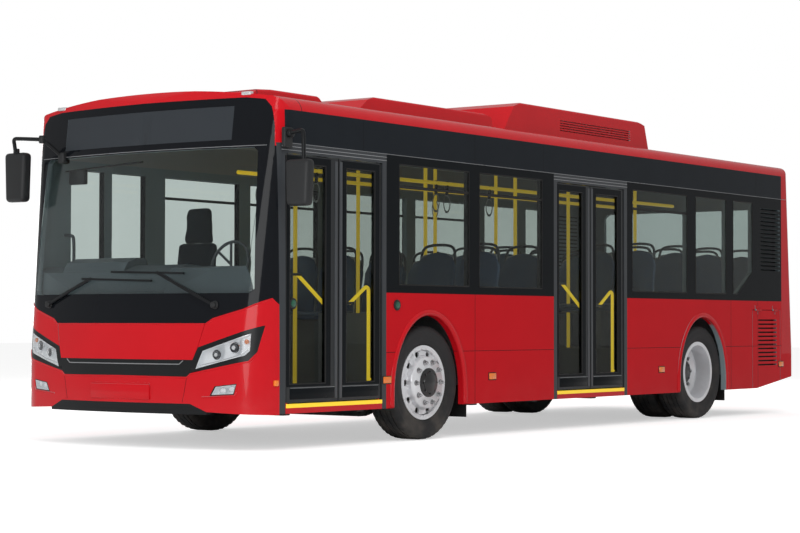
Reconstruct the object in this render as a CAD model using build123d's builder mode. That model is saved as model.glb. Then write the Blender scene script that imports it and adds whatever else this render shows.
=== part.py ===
"""A low-entry city bus with two double-leaf doors, modelled panel by panel.

Millimetres. +Z is up, the front faces -Y and +X is the vehicle's left, the door side.
The origin is on the road, below the middle of the length and the width.
Stations along the bus are written from the front axle, the rear axle or the tail.
"""

import os
from math import cos, radians, sin, sqrt

from build123d import *

os.makedirs("parts", exist_ok=True)

# ---------------------------------------------------------------- driving dimensions
width = 2550.0
wheelbase = 4650.0
front_overhang = 2215.0
rear_overhang = 2055.0
length = front_overhang + wheelbase + rear_overhang
half = width / 2
nose = -length / 2
tail = length / 2
front_axle = nose + front_overhang
rear_axle = front_axle + wheelbase

# Heights above the road
skirt = 270.0
floor_top = 340.0
platform_top = 700.0
waist = 1170.0
window_bottom = 1235.0
window_top = 2180.0
band_top = 2250.0
roof_line = 2495.0
roof_crown = 2680.0

# Thicknesses, gaps and clearances
wall = 55.0
pane = 8.0
pane_recess = 2.0
floor_plate = 30.0
box_plate = 12.0
shut_gap = 6.0
running_fit = 0.05
weld_gap = 0.3
reach = 3000.0
past_side = half + 10.0

# The hull's outline seen from above
nose_radius = 4200.0
nose_corner = 340.0
nose_radius_high = 6000.0
nose_corner_high = 100.0
tail_corner = 80.0
upright_to = 650.0
nose_lean = 0.125
tail_lean = 0.065
hull_top = 2760.0
hull_bottom = 255.0

# The hull's outline seen from the front and from the side
roof_camber_radius = 8400.0
cant_radius = 120.0
brow_radius = 110.0

# Planes where the front and the rear modules end
front_post = front_axle - 1860.0
rear_post = tail - 300.0


def swung(z, lean):
    """Return how far the upper body leans in at a height."""
    return lean * max(0.0, z - upright_to)


def plan_face(z, inset):
    """Return the hull's outline at one height, set in by a distance."""
    low = z <= upright_to
    bulge = (nose_radius if low else nose_radius_high) - inset
    corner = (nose_corner if low else nose_corner_high) - inset
    x = half - inset
    front = nose + swung(z, nose_lean) + inset
    back = tail - swung(z, tail_lean) - inset
    sag = bulge - sqrt(bulge**2 - x**2)
    with BuildSketch(Plane.XY.offset(z)) as drawn:
        with BuildLine():
            ThreePointArc((-x, front + sag), (0, front), (x, front + sag))
            Polyline((x, front + sag), (x, back), (-x, back), (-x, front + sag))
        make_face()
        fillet(drawn.vertices().group_by(Axis.Y)[0], corner)
        fillet(drawn.vertices().group_by(Axis.Y)[-1], max(tail_corner - inset, 15.0))
    return drawn.sketch


def section_face(inset):
    """Return the hull's cross-section with its rounded cant rails."""
    x = half - inset
    crown = roof_crown - inset
    radius = roof_camber_radius - inset
    eaves = crown - radius + sqrt(radius**2 - x**2)
    with BuildSketch(Plane.XZ.offset(-tail)) as drawn:
        with BuildLine():
            ThreePointArc((-x, eaves), (0, crown), (x, eaves))
            Polyline((x, eaves), (x, 0), (-x, 0), (-x, eaves))
        make_face()
        fillet(drawn.vertices().group_by(Axis.Y)[-1], max(cant_radius - inset, 15.0))
    return drawn.sketch


def brow_face(inset):
    """Return the side profile that rounds the roof's front and rear edges."""
    low = upright_to
    high = roof_crown + 20.0
    front = nose + inset
    back = tail - inset
    top_front = front + swung(high, nose_lean)
    top_back = back - swung(high, tail_lean)
    with BuildSketch(Plane.YZ.offset(-half)) as drawn:
        with BuildLine():
            Polyline(
                (front, 0), (front, low), (top_front, high),
                (top_back, high), (back, low), (back, 0), close=True,
            )
        make_face()
        fillet(drawn.vertices().group_by(Axis.Y)[-1], brow_radius - inset)
    return drawn.sketch


def hull(inset):
    """Return the solid body of the bus, set in by a distance."""
    with BuildPart() as made:
        levels = (hull_bottom - reach / 10, upright_to, hull_top)
        loft(sections=[plan_face(z, inset) for z in levels[1:]], ruled=True)
        extrude(plan_face(upright_to, inset), amount=levels[0] - upright_to)
        extrude(section_face(inset), amount=length + reach, mode=Mode.INTERSECT)
        extrude(brow_face(inset), amount=width, mode=Mode.INTERSECT)
    return made.part


def span(x, y, z, mode=Mode.ADD):
    """Add, cut or keep the box between two corners."""
    with Locations(((x[0] + x[1]) / 2, (y[0] + y[1]) / 2, (z[0] + z[1]) / 2)):
        Box(abs(x[1] - x[0]), abs(y[1] - y[0]), abs(z[1] - z[0]), mode=mode)


def drawn_face(plane, points, both=False):
    """Return a flat face from its corners, with its mirror image if both is set."""
    with BuildSketch(plane) as drawn:
        with BuildLine():
            Polyline(*points, close=True)
        make_face()
        if both:
            mirror(about=Plane.YZ)
    return drawn.sketch


def from_front(points, both=True, mode=Mode.INTERSECT):
    """Keep or cut what lies behind an outline on the front, given as x and z."""
    face = drawn_face(Plane.XZ.offset(-front_post), points, both)
    extrude(face, amount=reach, mode=mode)


def from_rear(points, both=True, mode=Mode.INTERSECT):
    """Keep or cut what lies behind an outline on the rear, given as x and z."""
    face = drawn_face(Plane.XZ.offset(-rear_post), points, both)
    extrude(face, amount=-reach, mode=mode)


def from_side(points, low, high, mode=Mode.INTERSECT):
    """Keep or cut what lies within an outline given as y and z, between two x."""
    face = drawn_face(Plane.YZ.offset(low), points)
    extrude(face, amount=high - low, mode=mode)


def save(made, label):
    """Name a finished piece and write it."""
    made.part.label = label
    export_step(made.part, f"parts/{label}.step")


outer = hull(0)
inner = hull(wall)
with BuildPart() as shell:
    add(outer)
    add(inner, mode=Mode.SUBTRACT)
with BuildPart() as skin:
    add(hull(pane_recess))
    add(hull(pane_recess + pane), mode=Mode.SUBTRACT)
with BuildPart() as recess:
    add(outer)
    add(hull(pane_recess + pane), mode=Mode.SUBTRACT)


def module(layer, y):
    """Return the stretch of a layer of the hull between two stations."""
    with BuildPart() as made:
        add(layer)
        span((-half - 1, half + 1), y, (0, reach), Mode.INTERSECT)
    return made.part


front_shell = module(shell.part, (nose - 1.0, front_post))
body_shell = module(shell.part, (front_post, rear_post))
rear_shell = module(shell.part, (rear_post, tail + 1.0))

# ---------------------------------------------------------------- wheel arches
arch_centre_height = 400.0
arch_half_width = 478.0
arch_height = 595.0
axles = (front_axle, rear_axle)


def cut_arches(low, high):
    """Cut both wheel arches out of a side wall between two x."""
    for axle in axles:
        with BuildSketch(Plane.YZ.offset(low)) as opening:
            with Locations((axle, arch_centre_height)):
                Ellipse(arch_half_width, arch_height)
            with Locations((axle, arch_centre_height / 2)):
                Rectangle(2 * arch_half_width, arch_centre_height)
        extrude(opening.sketch, amount=high - low, mode=Mode.SUBTRACT)


# ---------------------------------------------------------------- doors
# Outer frame of each doorway, from the front axle, and where its two leaves meet
doorways = (
    ("front", front_axle - 1860.0, front_axle - 583.0, front_axle - 1182.0),
    ("middle", front_axle + 1873.0, front_axle + 3153.0, front_axle + 2498.0),
)
door_post = 54.0
header_bottom = 2176.0
leaf_gap = 10.0
leaf_thickness = 40.0
leaf_recess = 6.0
leaf_outside = half - leaf_recess
leaf_inside = leaf_outside - leaf_thickness
leaf_bottom = floor_top + 10.0
leaf_top = header_bottom - shut_gap
hinge_x = leaf_outside - leaf_thickness / 2
glass_bottom = 480.0
glass_top = 2110.0
# Each leaf's glass, from the hinge side: stile on that side, stile on the free side
leaf_stiles = {"front": ((38.0, 143.0), (78.0, 87.0)), "middle": ((28.0, 125.0), (96.0, 92.0))}
grip_radius = 14.0
grip_standoff = 34.0
grip_x = leaf_inside - grip_standoff
# Grips: start, as distance from the hinge-side edge and height, then the upright's
# distance and the height of the bend
leaf_grips = {
    "front": ((220.0, 1290.0, 545.0, 1070.0), (305.0, 1085.0, 68.0, 1235.0)),
    "middle": ((205.0, 1285.0, 520.0, 1075.0), (315.0, 1095.0, 80.0, 1250.0)),
}
grip_foot = 480.0
grip_stub = 8.0
grip_inset = 20.0
strap_half = 10.0
strap_thickness = 8.0

# ---------------------------------------------------------------- flap hinges
hinge_radius = 9.0
hinge_offset = 10.0
hinge_length = 60.0
hinge_leaf = 45.0
hinge_plate = 5.0
hinge_gap = 0.3


def hinge_half(plane, first, sense):
    """Add one half of a hinge whose pin lies on the plane's first axis.

    The second axis points up and the normal out of the body. The half starts at one place
    along the pin, and its plate runs upwards if the sense is 1, downwards if it is -1.
    """
    centre = plane.origin + plane.x_dir * (first + hinge_length / 2) + plane.z_dir * hinge_offset
    with Locations(Plane(origin=centre, x_dir=plane.y_dir, z_dir=plane.x_dir)):
        Cylinder(hinge_radius, hinge_length)
    with Locations(Plane(origin=centre, x_dir=plane.x_dir, z_dir=plane.z_dir)):
        with Locations((0, sense * hinge_leaf / 2, hinge_plate / 2 - hinge_offset)):
            Box(hinge_length, hinge_leaf, hinge_plate)


# ---------------------------------------------------------------- side walls
# Windows as start, end, from the front axle, on the left and on the right
left_windows = (
    (front_axle - 415.0, front_axle + 555.0),
    (front_axle + 708.0, front_axle + 1680.0),
    (front_axle + 3250.0, front_axle + 4320.0),
    (tail - 2210.0, tail - 1560.0),
)
right_windows = (
    (front_axle - 1530.0, front_axle - 1150.0),
    (front_axle - 1060.0, front_axle - 660.0),
    (front_axle - 415.0, front_axle + 555.0),
    (front_axle + 708.0, front_axle + 1680.0),
    (front_axle + 1830.0, front_axle + 3100.0),
    (front_axle + 3250.0, front_axle + 4320.0),
    (tail - 2210.0, tail - 1560.0),
)
# The last pane's foremost corner is cut off
wedge_front = tail - 1410.0
wedge_rear = tail - 975.0
wedge_knee = 1466.0
wedge_window = (
    (wedge_front, window_bottom), (wedge_rear - 345.0, window_bottom),
    (wedge_rear, wedge_knee), (wedge_rear, window_top), (wedge_front, window_top),
)

# Louvres: pitch and slot height
louvre_pitch = 42.0
louvre_slot = 16.0
upper_louvre_y = (tail - 780.0, tail - 340.0)
upper_louvre_z = (1455.0, 2165.0)
hatch_y = (tail - 980.0, tail - 330.0)
hatch_top = 1080.0
lower_louvre_y = (tail - 845.0, tail - 420.0)
lower_louvre_z = (477.0, 1005.0)
tail_rise_start = tail - 880.0
tail_rise_slope = 0.13


def cut_louvres(y, z, x):
    """Cut a stack of slots between two heights."""
    count = int((z[1] - z[0]) // louvre_pitch)
    with Locations(((x[0] + x[1]) / 2, (y[0] + y[1]) / 2, (z[0] + z[1]) / 2)):
        with Locations([(0, 0, (i - (count - 1) / 2) * louvre_pitch) for i in range(count)]):
            Box(abs(x[1] - x[0]), y[1] - y[0], louvre_slot, mode=Mode.SUBTRACT)


def tail_bottom(y):
    """Return the skirt's height at a station: it rises towards the tail."""
    return skirt + max(0.0, y - tail_rise_start) * tail_rise_slope


def trim_skirt():
    """Cut away what lies below the skirt's edge."""
    below = (
        (nose, skirt), (tail_rise_start, skirt), (tail, tail_bottom(tail)), (tail, 0.0), (nose, 0.0),
    )
    from_side(below, -half - 1.0, half + 1.0, mode=Mode.SUBTRACT)


hatch_hinge = Plane(origin=(half, 0, hatch_top - shut_gap / 2), x_dir=(0, 1, 0), z_dir=(1, 0, 0))
hatch_hinges = (hatch_y[0] + 60.0, hatch_y[1] - 190.0)

with BuildPart() as left_lower_wall:
    add(body_shell)
    span((half - wall - 1, half + 1), (doorways[0][2], rear_post), (0, waist), Mode.INTERSECT)
    cut_arches(half - wall - 1, half + 1)
    span((0, half + 1), doorways[1][1:3], (0, waist + 1), Mode.SUBTRACT)
    span((0, half + 1), hatch_y, (0, hatch_top), Mode.SUBTRACT)
    trim_skirt()
    for y in hatch_hinges:
        hinge_half(hatch_hinge, y, 1)
save(left_lower_wall, "left_lower_wall")

with BuildPart() as right_lower_wall:
    add(body_shell)
    span((-half - 1, -half + wall + 1), (front_post, rear_post), (0, waist), Mode.INTERSECT)
    cut_arches(-half - 1, -half + wall + 1)
    trim_skirt()
save(right_lower_wall, "right_lower_wall")

with BuildPart() as left_window_wall:
    add(body_shell)
    band = (waist, band_top)
    span((half - wall - 1, half + 1), (doorways[0][2], rear_post), band, Mode.INTERSECT)
    span((0, half + 1), doorways[1][1:3], band, Mode.SUBTRACT)
    for start, end in left_windows:
        span((0, half + 1), (start, end), (window_bottom, window_top), Mode.SUBTRACT)
    from_side(wedge_window, 0, half + 1, mode=Mode.SUBTRACT)
    cut_louvres(upper_louvre_y, upper_louvre_z, (half - wall - 2, half + 2))
save(left_window_wall, "left_window_wall")

with BuildPart() as right_window_wall:
    add(body_shell)
    span((-half - 1, -half + wall + 1), (front_post, rear_post), band, Mode.INTERSECT)
    for start, end in right_windows:
        span((-half - 1, 0), (start, end), (window_bottom, window_top), Mode.SUBTRACT)
    from_side(wedge_window, -half - 1, 0, mode=Mode.SUBTRACT)
    cut_louvres(upper_louvre_y, upper_louvre_z, (-half + wall + 2, -half - 2))
save(right_window_wall, "right_window_wall")

with BuildPart() as side_windows:
    for sign, windows in ((1, left_windows), (-1, right_windows)):
        glass_x = (sign * (half - pane_recess - pane), sign * (half - pane_recess))
        for start, end in windows:
            span(glass_x, (start, end), (window_bottom, window_top))
        from_side(wedge_window, min(glass_x), max(glass_x), mode=Mode.ADD)
save(side_windows, "side_windows")

with BuildPart() as cant_rails:
    add(body_shell)
    span((-half - 1, half + 1), (front_post, rear_post), (band_top, roof_line), Mode.INTERSECT)
save(cant_rails, "cant_rails")

# ---------------------------------------------------------------- front, as x and z
mask_outline = (
    (0, 929.0), (764.0, 929.0), (823.0, 967.0), (1064.0, 1035.0), (1231.0, 1113.0), (1213.0, 2226.0),
    (1207.0, 2395.0), (1188.0, 2508.0), (1122.0, 2575.0), (961.0, 2594.0), (0, 2600.0),
)
post_outline = (
    (1231.0, 1113.0), (past_side, 1010.0), (past_side, roof_line), (1270.0, roof_line),
    (1255.0, 2442.0), (1251.0, 2396.0), (1224.0, 2226.0), (1213.0, 2226.0),
)
screen_opening = (
    (0, 1150.0), (1102.0, 1150.0), (1134.0, 1180.0), (1092.0, 2191.0), (1058.0, 2219.0), (0, 2222.0),
)
sign_opening = ((0, 2280.0), (862.0, 2282.0), (866.0, 2533.0), (0, 2533.0))
lamp_outline = (
    (679.0, 661.0), (718.0, 753.0), (1204.0, 915.0), (1169.0, 721.0), (1120.0, 657.0), (660.0, 563.0),
)
bumper_top = (
    (0, 541.0), (629.0, 537.0), (660.0, 563.0), (1120.0, 657.0), (1169.0, 721.0), (1204.0, 915.0),
    (past_side, 955.0),
)
bumper_low = ((past_side, 262.0), (800.0, 282.0), (660.0, 340.0), (0, 340.0))
fog_outline = ((825.0, 399.0), (865.0, 471.0), (1043.0, 492.0), (1022.0, 411.0))
hood_low = 661.0

with BuildPart() as sign_pocket:
    add(recess.part)
    from_front(sign_opening)
with BuildPart() as front_mask:
    add(front_shell)
    from_front(mask_outline)
    from_front(screen_opening, mode=Mode.SUBTRACT)
    add(sign_pocket.part, mode=Mode.SUBTRACT)
save(front_mask, "front_mask")

with BuildPart() as corner_posts:
    add(front_shell)
    from_front(post_outline)
save(corner_posts, "corner_posts")

shut_line = 4.0
hood_outline = (
    (0, 929.0), (764.0 - shut_line, 929.0), (718.0 - shut_line, 753.0), (679.0, hood_low), (0, hood_low),
)
corner_outline = (
    (718.0, 753.0), (1204.0, 915.0), (past_side, 955.0), (past_side, 1010.0), (1231.0, 1113.0),
    (1064.0, 1035.0), (823.0, 967.0), (764.0, 929.0),
)
grille_outline = ((0, hood_low), (679.0, hood_low), (660.0, 563.0), (629.0, 537.0), (0, 541.0))
lip_outline = ((0, 340.0), (660.0, 340.0), (800.0, 282.0), (800.0, 262.0), (0, 262.0))


def front_pieces(layer, *outlines):
    """Return the pieces of a layer of the hull behind outlines that don't touch."""
    with BuildPart() as shapes:
        for outline in outlines:
            from_front(outline, mode=Mode.ADD)
    with BuildPart() as made:
        add(layer)
        add(shapes.part, mode=Mode.INTERSECT)
    return made


save(front_pieces(front_shell, hood_outline, corner_outline), "front_panels")
save(front_pieces(front_shell, grille_outline, lip_outline), "grille_and_lip")
save(front_pieces(front_shell, lamp_outline, fog_outline), "front_lamps")
save(front_pieces(skin.part, screen_opening, sign_opening), "front_glass")

with BuildPart() as bumper:
    add(front_shell)
    from_front(bumper_top + bumper_low)
    from_front(fog_outline, mode=Mode.SUBTRACT)
save(bumper, "bumper")

# ---------------------------------------------------------------- roof and roof units
roof_foot = 2226.0
with BuildPart() as roof:
    add(shell.part)
    span((-half - 1, half + 1), (nose - 1, tail + 1), (roof_foot, hull_top), Mode.INTERSECT)
    span((-half - 1, half + 1), (front_post, tail + 1), (0, roof_line), Mode.SUBTRACT)
    from_front(mask_outline, mode=Mode.SUBTRACT)
    from_front(post_outline, mode=Mode.SUBTRACT)
save(roof, "roof")

pod_half_width = 950.0
pod_foot = roof_crown - 90.0
# Side profiles from the front axle: y and z
dome_profile = ((-1780.0, pod_foot), (-1620.0, 2690.0), (-1450.0, 2702.0), (-900.0, 2702.0),
                (-760.0, pod_foot))
front_pod_profile = ((-560.0, pod_foot), (-400.0, 2715.0), (-300.0, 2742.0), (1270.0, 2742.0),
                     (1370.0, 2720.0), (1410.0, pod_foot))
unit_profile = ((1545.0, pod_foot), (1730.0, 2850.0), (1850.0, 2890.0), (3940.0, 2890.0),
                (4060.0, 2860.0), (4150.0, pod_foot))
pod_edge = 22.0
unit_louvre_y = (2500.0, 3780.0)
unit_louvre_z = (2690.0, 2800.0)
unit_slot_pitch = 22.0
unit_slot = 10.0
unit_slot_depth = 25.0


def roof_unit(profile, half_width):
    """Return one roof cover from its side profile, seated on the curved roof."""
    placed = [(front_axle + y, z) for y, z in profile]
    with BuildPart() as made:
        face = drawn_face(Plane.YZ.offset(-half_width), placed)
        extrude(face, amount=2 * half_width)
        top_edges = made.edges().filter_by(Axis.Y).group_by(Axis.Z)[-1]
        fillet(top_edges, pod_edge)
        add(outer, mode=Mode.SUBTRACT)
    return made.part


with BuildPart() as roof_pods:
    add(roof_unit(dome_profile, pod_half_width - 110.0))
    add(roof_unit(front_pod_profile, pod_half_width))
save(roof_pods, "roof_pods")

with BuildPart() as ac_unit:
    add(roof_unit(unit_profile, pod_half_width))
    slots = int((unit_louvre_z[1] - unit_louvre_z[0]) // unit_slot_pitch)
    for sign in (1, -1):
        for i in range(slots):
            low = unit_louvre_z[0] + i * unit_slot_pitch
            span(
                (sign * (pod_half_width - unit_slot_depth), sign * (pod_half_width + 1)),
                (front_axle + unit_louvre_y[0], front_axle + unit_louvre_y[1]),
                (low, low + unit_slot), Mode.SUBTRACT,
            )
save(ac_unit, "ac_unit")

# ---------------------------------------------------------------- rear, as x and z
bumper_line = 620.0
lid_half_width = 760.0
lid_bottom = 660.0
lid_top = 1290.0
rear_window_outline = ((0, 1430.0), (960.0, 1430.0), (1000.0, 1480.0), (980.0, 2120.0),
                       (930.0, 2160.0), (0, 2160.0))
rear_lamp_x = (1000.0, 1180.0)
rear_lamp_z = (720.0, 1260.0)
rear_lamp_count = 3
lid_hinge_height = lid_top + shut_gap / 2
lid_hinge = Plane(
    origin=(0, tail - swung(lid_hinge_height, tail_lean), lid_hinge_height),
    x_dir=(-1, 0, 0), z_dir=(0, 1, tail_lean),
)
lid_hinges = (-560.0, 440.0)
rear_lamp_gap = 12.0


def frame_of(x, z):
    """Return the four corners of an upright rectangle seen from the rear."""
    return ((x[0], z[0]), (x[1], z[0]), (x[1], z[1]), (x[0], z[1]))


rear_lamp_pitch = (rear_lamp_z[1] - rear_lamp_z[0]) / rear_lamp_count
with BuildPart() as rear_lamp_shapes:
    for i in range(rear_lamp_count):
        low = rear_lamp_z[0] + i * rear_lamp_pitch
        outline = frame_of(rear_lamp_x, (low, low + rear_lamp_pitch - rear_lamp_gap))
        from_rear(outline, mode=Mode.ADD)

with BuildPart() as rear_wall:
    add(rear_shell)
    from_rear(frame_of((0, past_side), (bumper_line, roof_line)))
    lid_hole = frame_of((0, lid_half_width + shut_gap), (lid_bottom - shut_gap, lid_top + shut_gap))
    from_rear(lid_hole, mode=Mode.SUBTRACT)
    from_rear(rear_window_outline, mode=Mode.SUBTRACT)
    add(rear_lamp_shapes.part, mode=Mode.SUBTRACT)
    for x in lid_hinges:
        hinge_half(lid_hinge, x, 1)
save(rear_wall, "rear_wall")

with BuildPart() as rear_window:
    add(skin.part)
    from_rear(rear_window_outline)
save(rear_window, "rear_window")

with BuildPart() as rear_lamps:
    add(rear_shell)
    add(rear_lamp_shapes.part, mode=Mode.INTERSECT)
save(rear_lamps, "rear_lamps")

with BuildPart() as rear_bumper:
    add(rear_shell)
    from_rear(frame_of((0, past_side), (0, bumper_line)))
    trim_skirt()
save(rear_bumper, "rear_bumper")

with BuildPart() as engine_lid:
    add(rear_shell)
    from_rear(frame_of((0, lid_half_width), (lid_bottom, lid_top)))
    for x in lid_hinges:
        hinge_half(lid_hinge, x + hinge_length + hinge_gap, -1)
save(engine_lid, "engine_lid")

with BuildPart() as service_hatch:
    add(body_shell)
    hatch_z = (0, hatch_top - shut_gap)
    hatch_span = (hatch_y[0] + shut_gap, hatch_y[1] - shut_gap)
    span((half - wall - 1, half + 1), hatch_span, hatch_z, Mode.INTERSECT)
    cut_louvres(lower_louvre_y, lower_louvre_z, (half - wall - 2, half + 2))
    trim_skirt()
    for y in hatch_hinges:
        hinge_half(hatch_hinge, y + hinge_length + hinge_gap, -1)
save(service_hatch, "service_hatch")

# ---------------------------------------------------------------- floor and wheel boxes
box_inside = 600.0
box_top = 1000.0
front_box_y = (-575.0, 600.0)
rear_box_y = (-560.0, 560.0)
platform_front = front_axle + 3250.0

with BuildPart() as floor:
    add(inner)
    profile = (
        (nose, floor_top - floor_plate), (platform_front + floor_plate, floor_top - floor_plate),
        (platform_front + floor_plate, platform_top - floor_plate),
        (tail, platform_top - floor_plate), (tail, platform_top), (platform_front, platform_top),
        (platform_front, floor_top), (nose, floor_top),
    )
    from_side(profile, -half, half)
    for axle, box_y in ((front_axle, front_box_y), (rear_axle, rear_box_y)):
        for sign in (1, -1):
            notch = (axle + box_y[0] - box_plate, axle + box_y[1] + box_plate)
            span((sign * box_inside, sign * half), notch, (0, box_top), Mode.SUBTRACT)
    # The low floor stops short of the riser
    span((-half, half), (platform_front - weld_gap, platform_front), (0, floor_top), Mode.SUBTRACT)
save(floor, "floor")

with BuildPart() as wheel_boxes:
    for axle, box_y, foot in (
        (front_axle, front_box_y, floor_top - floor_plate),
        (rear_axle, rear_box_y, platform_top - floor_plate),
    ):
        for sign in (1, -1):
            out_y = (axle + box_y[0] - box_plate, axle + box_y[1] + box_plate)
            in_y = (axle + box_y[0], axle + box_y[1])
            out_x = (sign * box_inside, sign * (half - wall))
            in_x = (sign * (box_inside + box_plate), sign * half)
            span(out_x, out_y, (foot, box_top + box_plate))
            span(in_x, in_y, (foot - 1, box_top), Mode.SUBTRACT)
save(wheel_boxes, "wheel_boxes")

# ---------------------------------------------------------------- doors
pivot_radius = 15.0
pivot_gap = 0.3


def leaf_limits(door):
    """Return each leaf's hinge-side edge, free edge and turning sense."""
    name, start, end, meet = door
    return (
        (start + door_post + shut_gap, meet - leaf_gap / 2, 1),
        (end - door_post - shut_gap, meet + leaf_gap / 2, -1),
    )


def add_pivots(low, high):
    """Add the studs that the leaves turn on, between two heights."""
    for door in doorways:
        for edge, free, turn in leaf_limits(door):
            with Locations((hinge_x, edge + turn * leaf_thickness / 2, (low + high) / 2)):
                Cylinder(pivot_radius, high - low)


with BuildPart() as door_frames:
    for name, start, end, meet in doorways:
        span((half - 2 * wall, half + 1), (start, end), (skirt, band_top))
        clear = (start + door_post, end - door_post)
        span((0, half + 2), clear, (0, header_bottom), Mode.SUBTRACT)
    add(body_shell, mode=Mode.INTERSECT)
    add_pivots(leaf_top + pivot_gap, header_bottom)
save(door_frames, "door_frames")

with BuildPart() as door_sills:
    for name, start, end, meet in doorways:
        span((half - wall, half), (start + door_post, end - door_post), (skirt, floor_top))
    add_pivots(floor_top, leaf_bottom - pivot_gap)
save(door_sills, "door_sills")


def grip_rail(points):
    """Return a bent grip tube through a few points."""
    with BuildPart() as made:
        with BuildLine() as path:
            FilletPolyline(*points, radius=30.0)
        with BuildSketch(Plane(origin=path.line @ 0, z_dir=path.line % 0)):
            Circle(grip_radius)
        sweep()
    return made.part


for door in doorways:
    for which, (edge, free, turn) in enumerate(leaf_limits(door)):
        leaf_name = f"{door[0]}_door_{('front', 'rear')[which]}"
        stile, free_stile = leaf_stiles[door[0]][which]
        glass_y = sorted((edge + turn * stile, free - turn * free_stile))
        with BuildPart() as leaf:
            span((leaf_inside, leaf_outside), sorted((edge, free)), (leaf_bottom, leaf_top))
            uprights = leaf.edges().filter_by(Axis.Z).group_by(Axis.Y)[0 if turn > 0 else -1]
            fillet(uprights, leaf_thickness / 2 - 0.1)
            span((0, half), glass_y, (glass_bottom, glass_top), Mode.SUBTRACT)
            start, start_z, upright, bend_z = leaf_grips[door[0]][which]
            start_y, upright_y = edge + turn * start, edge + turn * upright
            add(grip_rail([
                (grip_x, start_y, start_z), (grip_x, upright_y, bend_z), (grip_x, upright_y, grip_foot),
            ]))
            # The start is held by a strap across the glass, the foot by the stile
            strap_y = (glass_y[0 if (turn > 0) == (which == 0) else 1], start_y)
            strap_z = (start_z - strap_half, start_z + strap_half)
            span((leaf_inside, leaf_inside + strap_thickness), strap_y, strap_z)
            toward = grip_inset if strap_y[1] > strap_y[0] else -grip_inset
            for y, z in ((start_y - toward / 2, start_z), (upright_y, grip_foot + grip_inset)):
                with BuildSketch(Plane.YZ.offset(grip_x)) as end_disc:
                    with Locations((y, z)):
                        Circle(grip_stub)
                extrude(end_disc.sketch, amount=grip_standoff + strap_thickness / 2)
        save(leaf, f"{leaf_name}_leaf")
        with BuildPart() as leaf_glass:
            span((hinge_x - pane / 2, hinge_x + pane / 2), glass_y, (glass_bottom, glass_top))
        save(leaf_glass, f"{leaf_name}_glass")

# ---------------------------------------------------------------- underbody
rail_x = (400.0, 500.0)
rail_height = 60.0
rail_top = floor_top - floor_plate
low_rail_z = (rail_top - rail_height, rail_top)
high_rail_top = platform_top - floor_plate
high_rail_z = (high_rail_top - rail_height, high_rail_top)
rail_front = front_axle - 1900.0
rail_rear = tail - 150.0
riser_y = (platform_front + floor_plate, platform_front + 130.0)
outrigger_half = half - wall - 60.0
outrigger_width = 80.0
front_outriggers = (-1700.0, -800.0, 760.0, 1700.0, 2700.0)
outrigger_gap = 10.0
eye_bore = 17.0
eye_plate = 30.0
eye_reach = 90.0
engine_half_width = 380.0
engine_y = (tail - 1340.0, tail - 350.0)
engine_bottom = 300.0
cradle_drop = 60.0

cradle_y = (engine_y[0] + outrigger_width, engine_y[1] - 2 * outrigger_width)


def cross_member(y, z):
    """Add a bar between the two rails."""
    span((weld_gap - rail_x[0], rail_x[0] - weld_gap), (y, y + outrigger_width), z)


def outrigger(y, z):
    """Add a bar between the rails and one from each rail out towards the wall."""
    cross_member(y, z)
    for sign in (1, -1):
        x = (sign * (rail_x[1] + weld_gap), sign * outrigger_half)
        span(x, (y, y + outrigger_width), z)


with BuildPart() as chassis_frame:
    # Members meet at their welds, each a solid of its own
    for sign in (1, -1):
        rail = (sign * rail_x[0], sign * rail_x[1])
        span(rail, (rail_front, riser_y[0] - weld_gap), low_rail_z)
        span(rail, riser_y, (low_rail_z[0], high_rail_z[1]))
        span(rail, (riser_y[1] + weld_gap, rail_rear), high_rail_z)
        for y in cradle_y:
            leg_z = (engine_bottom - cradle_drop, high_rail_z[0] - weld_gap)
            span(rail, (y, y + outrigger_width), leg_z)
        for y, low in (
            (rail_front - weld_gap - eye_reach, low_rail_z[0]),
            (rail_rear + weld_gap, high_rail_z[0]),
        ):
            span(rail, (y, y + eye_reach), (low, low + eye_plate))
            with Locations((sign * sum(rail_x) / 2, y + eye_reach / 2, low + eye_plate / 2)):
                Cylinder(eye_bore, 2 * eye_plate, mode=Mode.SUBTRACT)
    for y in front_outriggers:
        outrigger(front_axle + y, low_rail_z)
    for y in (engine_y[0] - outrigger_gap - outrigger_width, engine_y[1] + outrigger_gap):
        outrigger(y, high_rail_z)
    for y in cradle_y:
        cradle_z = (engine_bottom - cradle_drop, engine_bottom)
        cross_member(y, cradle_z)
save(chassis_frame, "chassis_frame")

with BuildPart() as engine:
    span((-engine_half_width, engine_half_width), engine_y, (engine_bottom, high_rail_z[1] - 10.0))
save(engine, "engine")

# ---------------------------------------------------------------- axles and wheels
tyre_radius = 458.0
tyre_width = 262.0
tread_shoulder = 38.0
bead_radius = 286.0
bead_half_width = 100.0
tyre_wall = 32.0
wheel_outside = half - 40.0
wheel_x = wheel_outside - tyre_width / 2
twin_spacing = 322.0
rim_well_radius = 262.0
rim_wall = 10.0
flange_radius = 298.0
flange_width = 9.0
spindle_radius = 35.0
rear_spindle_radius = 45.0
kingpin_x = 930.0
kingpin_radius = 20.0
kingpin_boss_radius = 42.0
kingpin_boss_height = 84.0
yoke_thickness = 26.0
yoke_gap = 6.0
beam_bottom = 170.0
beam_height = 70.0
beam_half_depth = 45.0
beam_knee_x = 600.0
steer_limit = 38.0
hand_holes = 10
front_hole = (19.0, 234.0)
rear_hole = (23.0, 208.0)
disc_wall = 14.0


def wheel_plane(axle, x, sign):
    """Return a plane whose first axis points out of the wheel, second up."""
    return Plane(origin=(sign * x, axle, tyre_radius), x_dir=(sign, 0, 0), z_dir=(0, -sign, 0))


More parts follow.
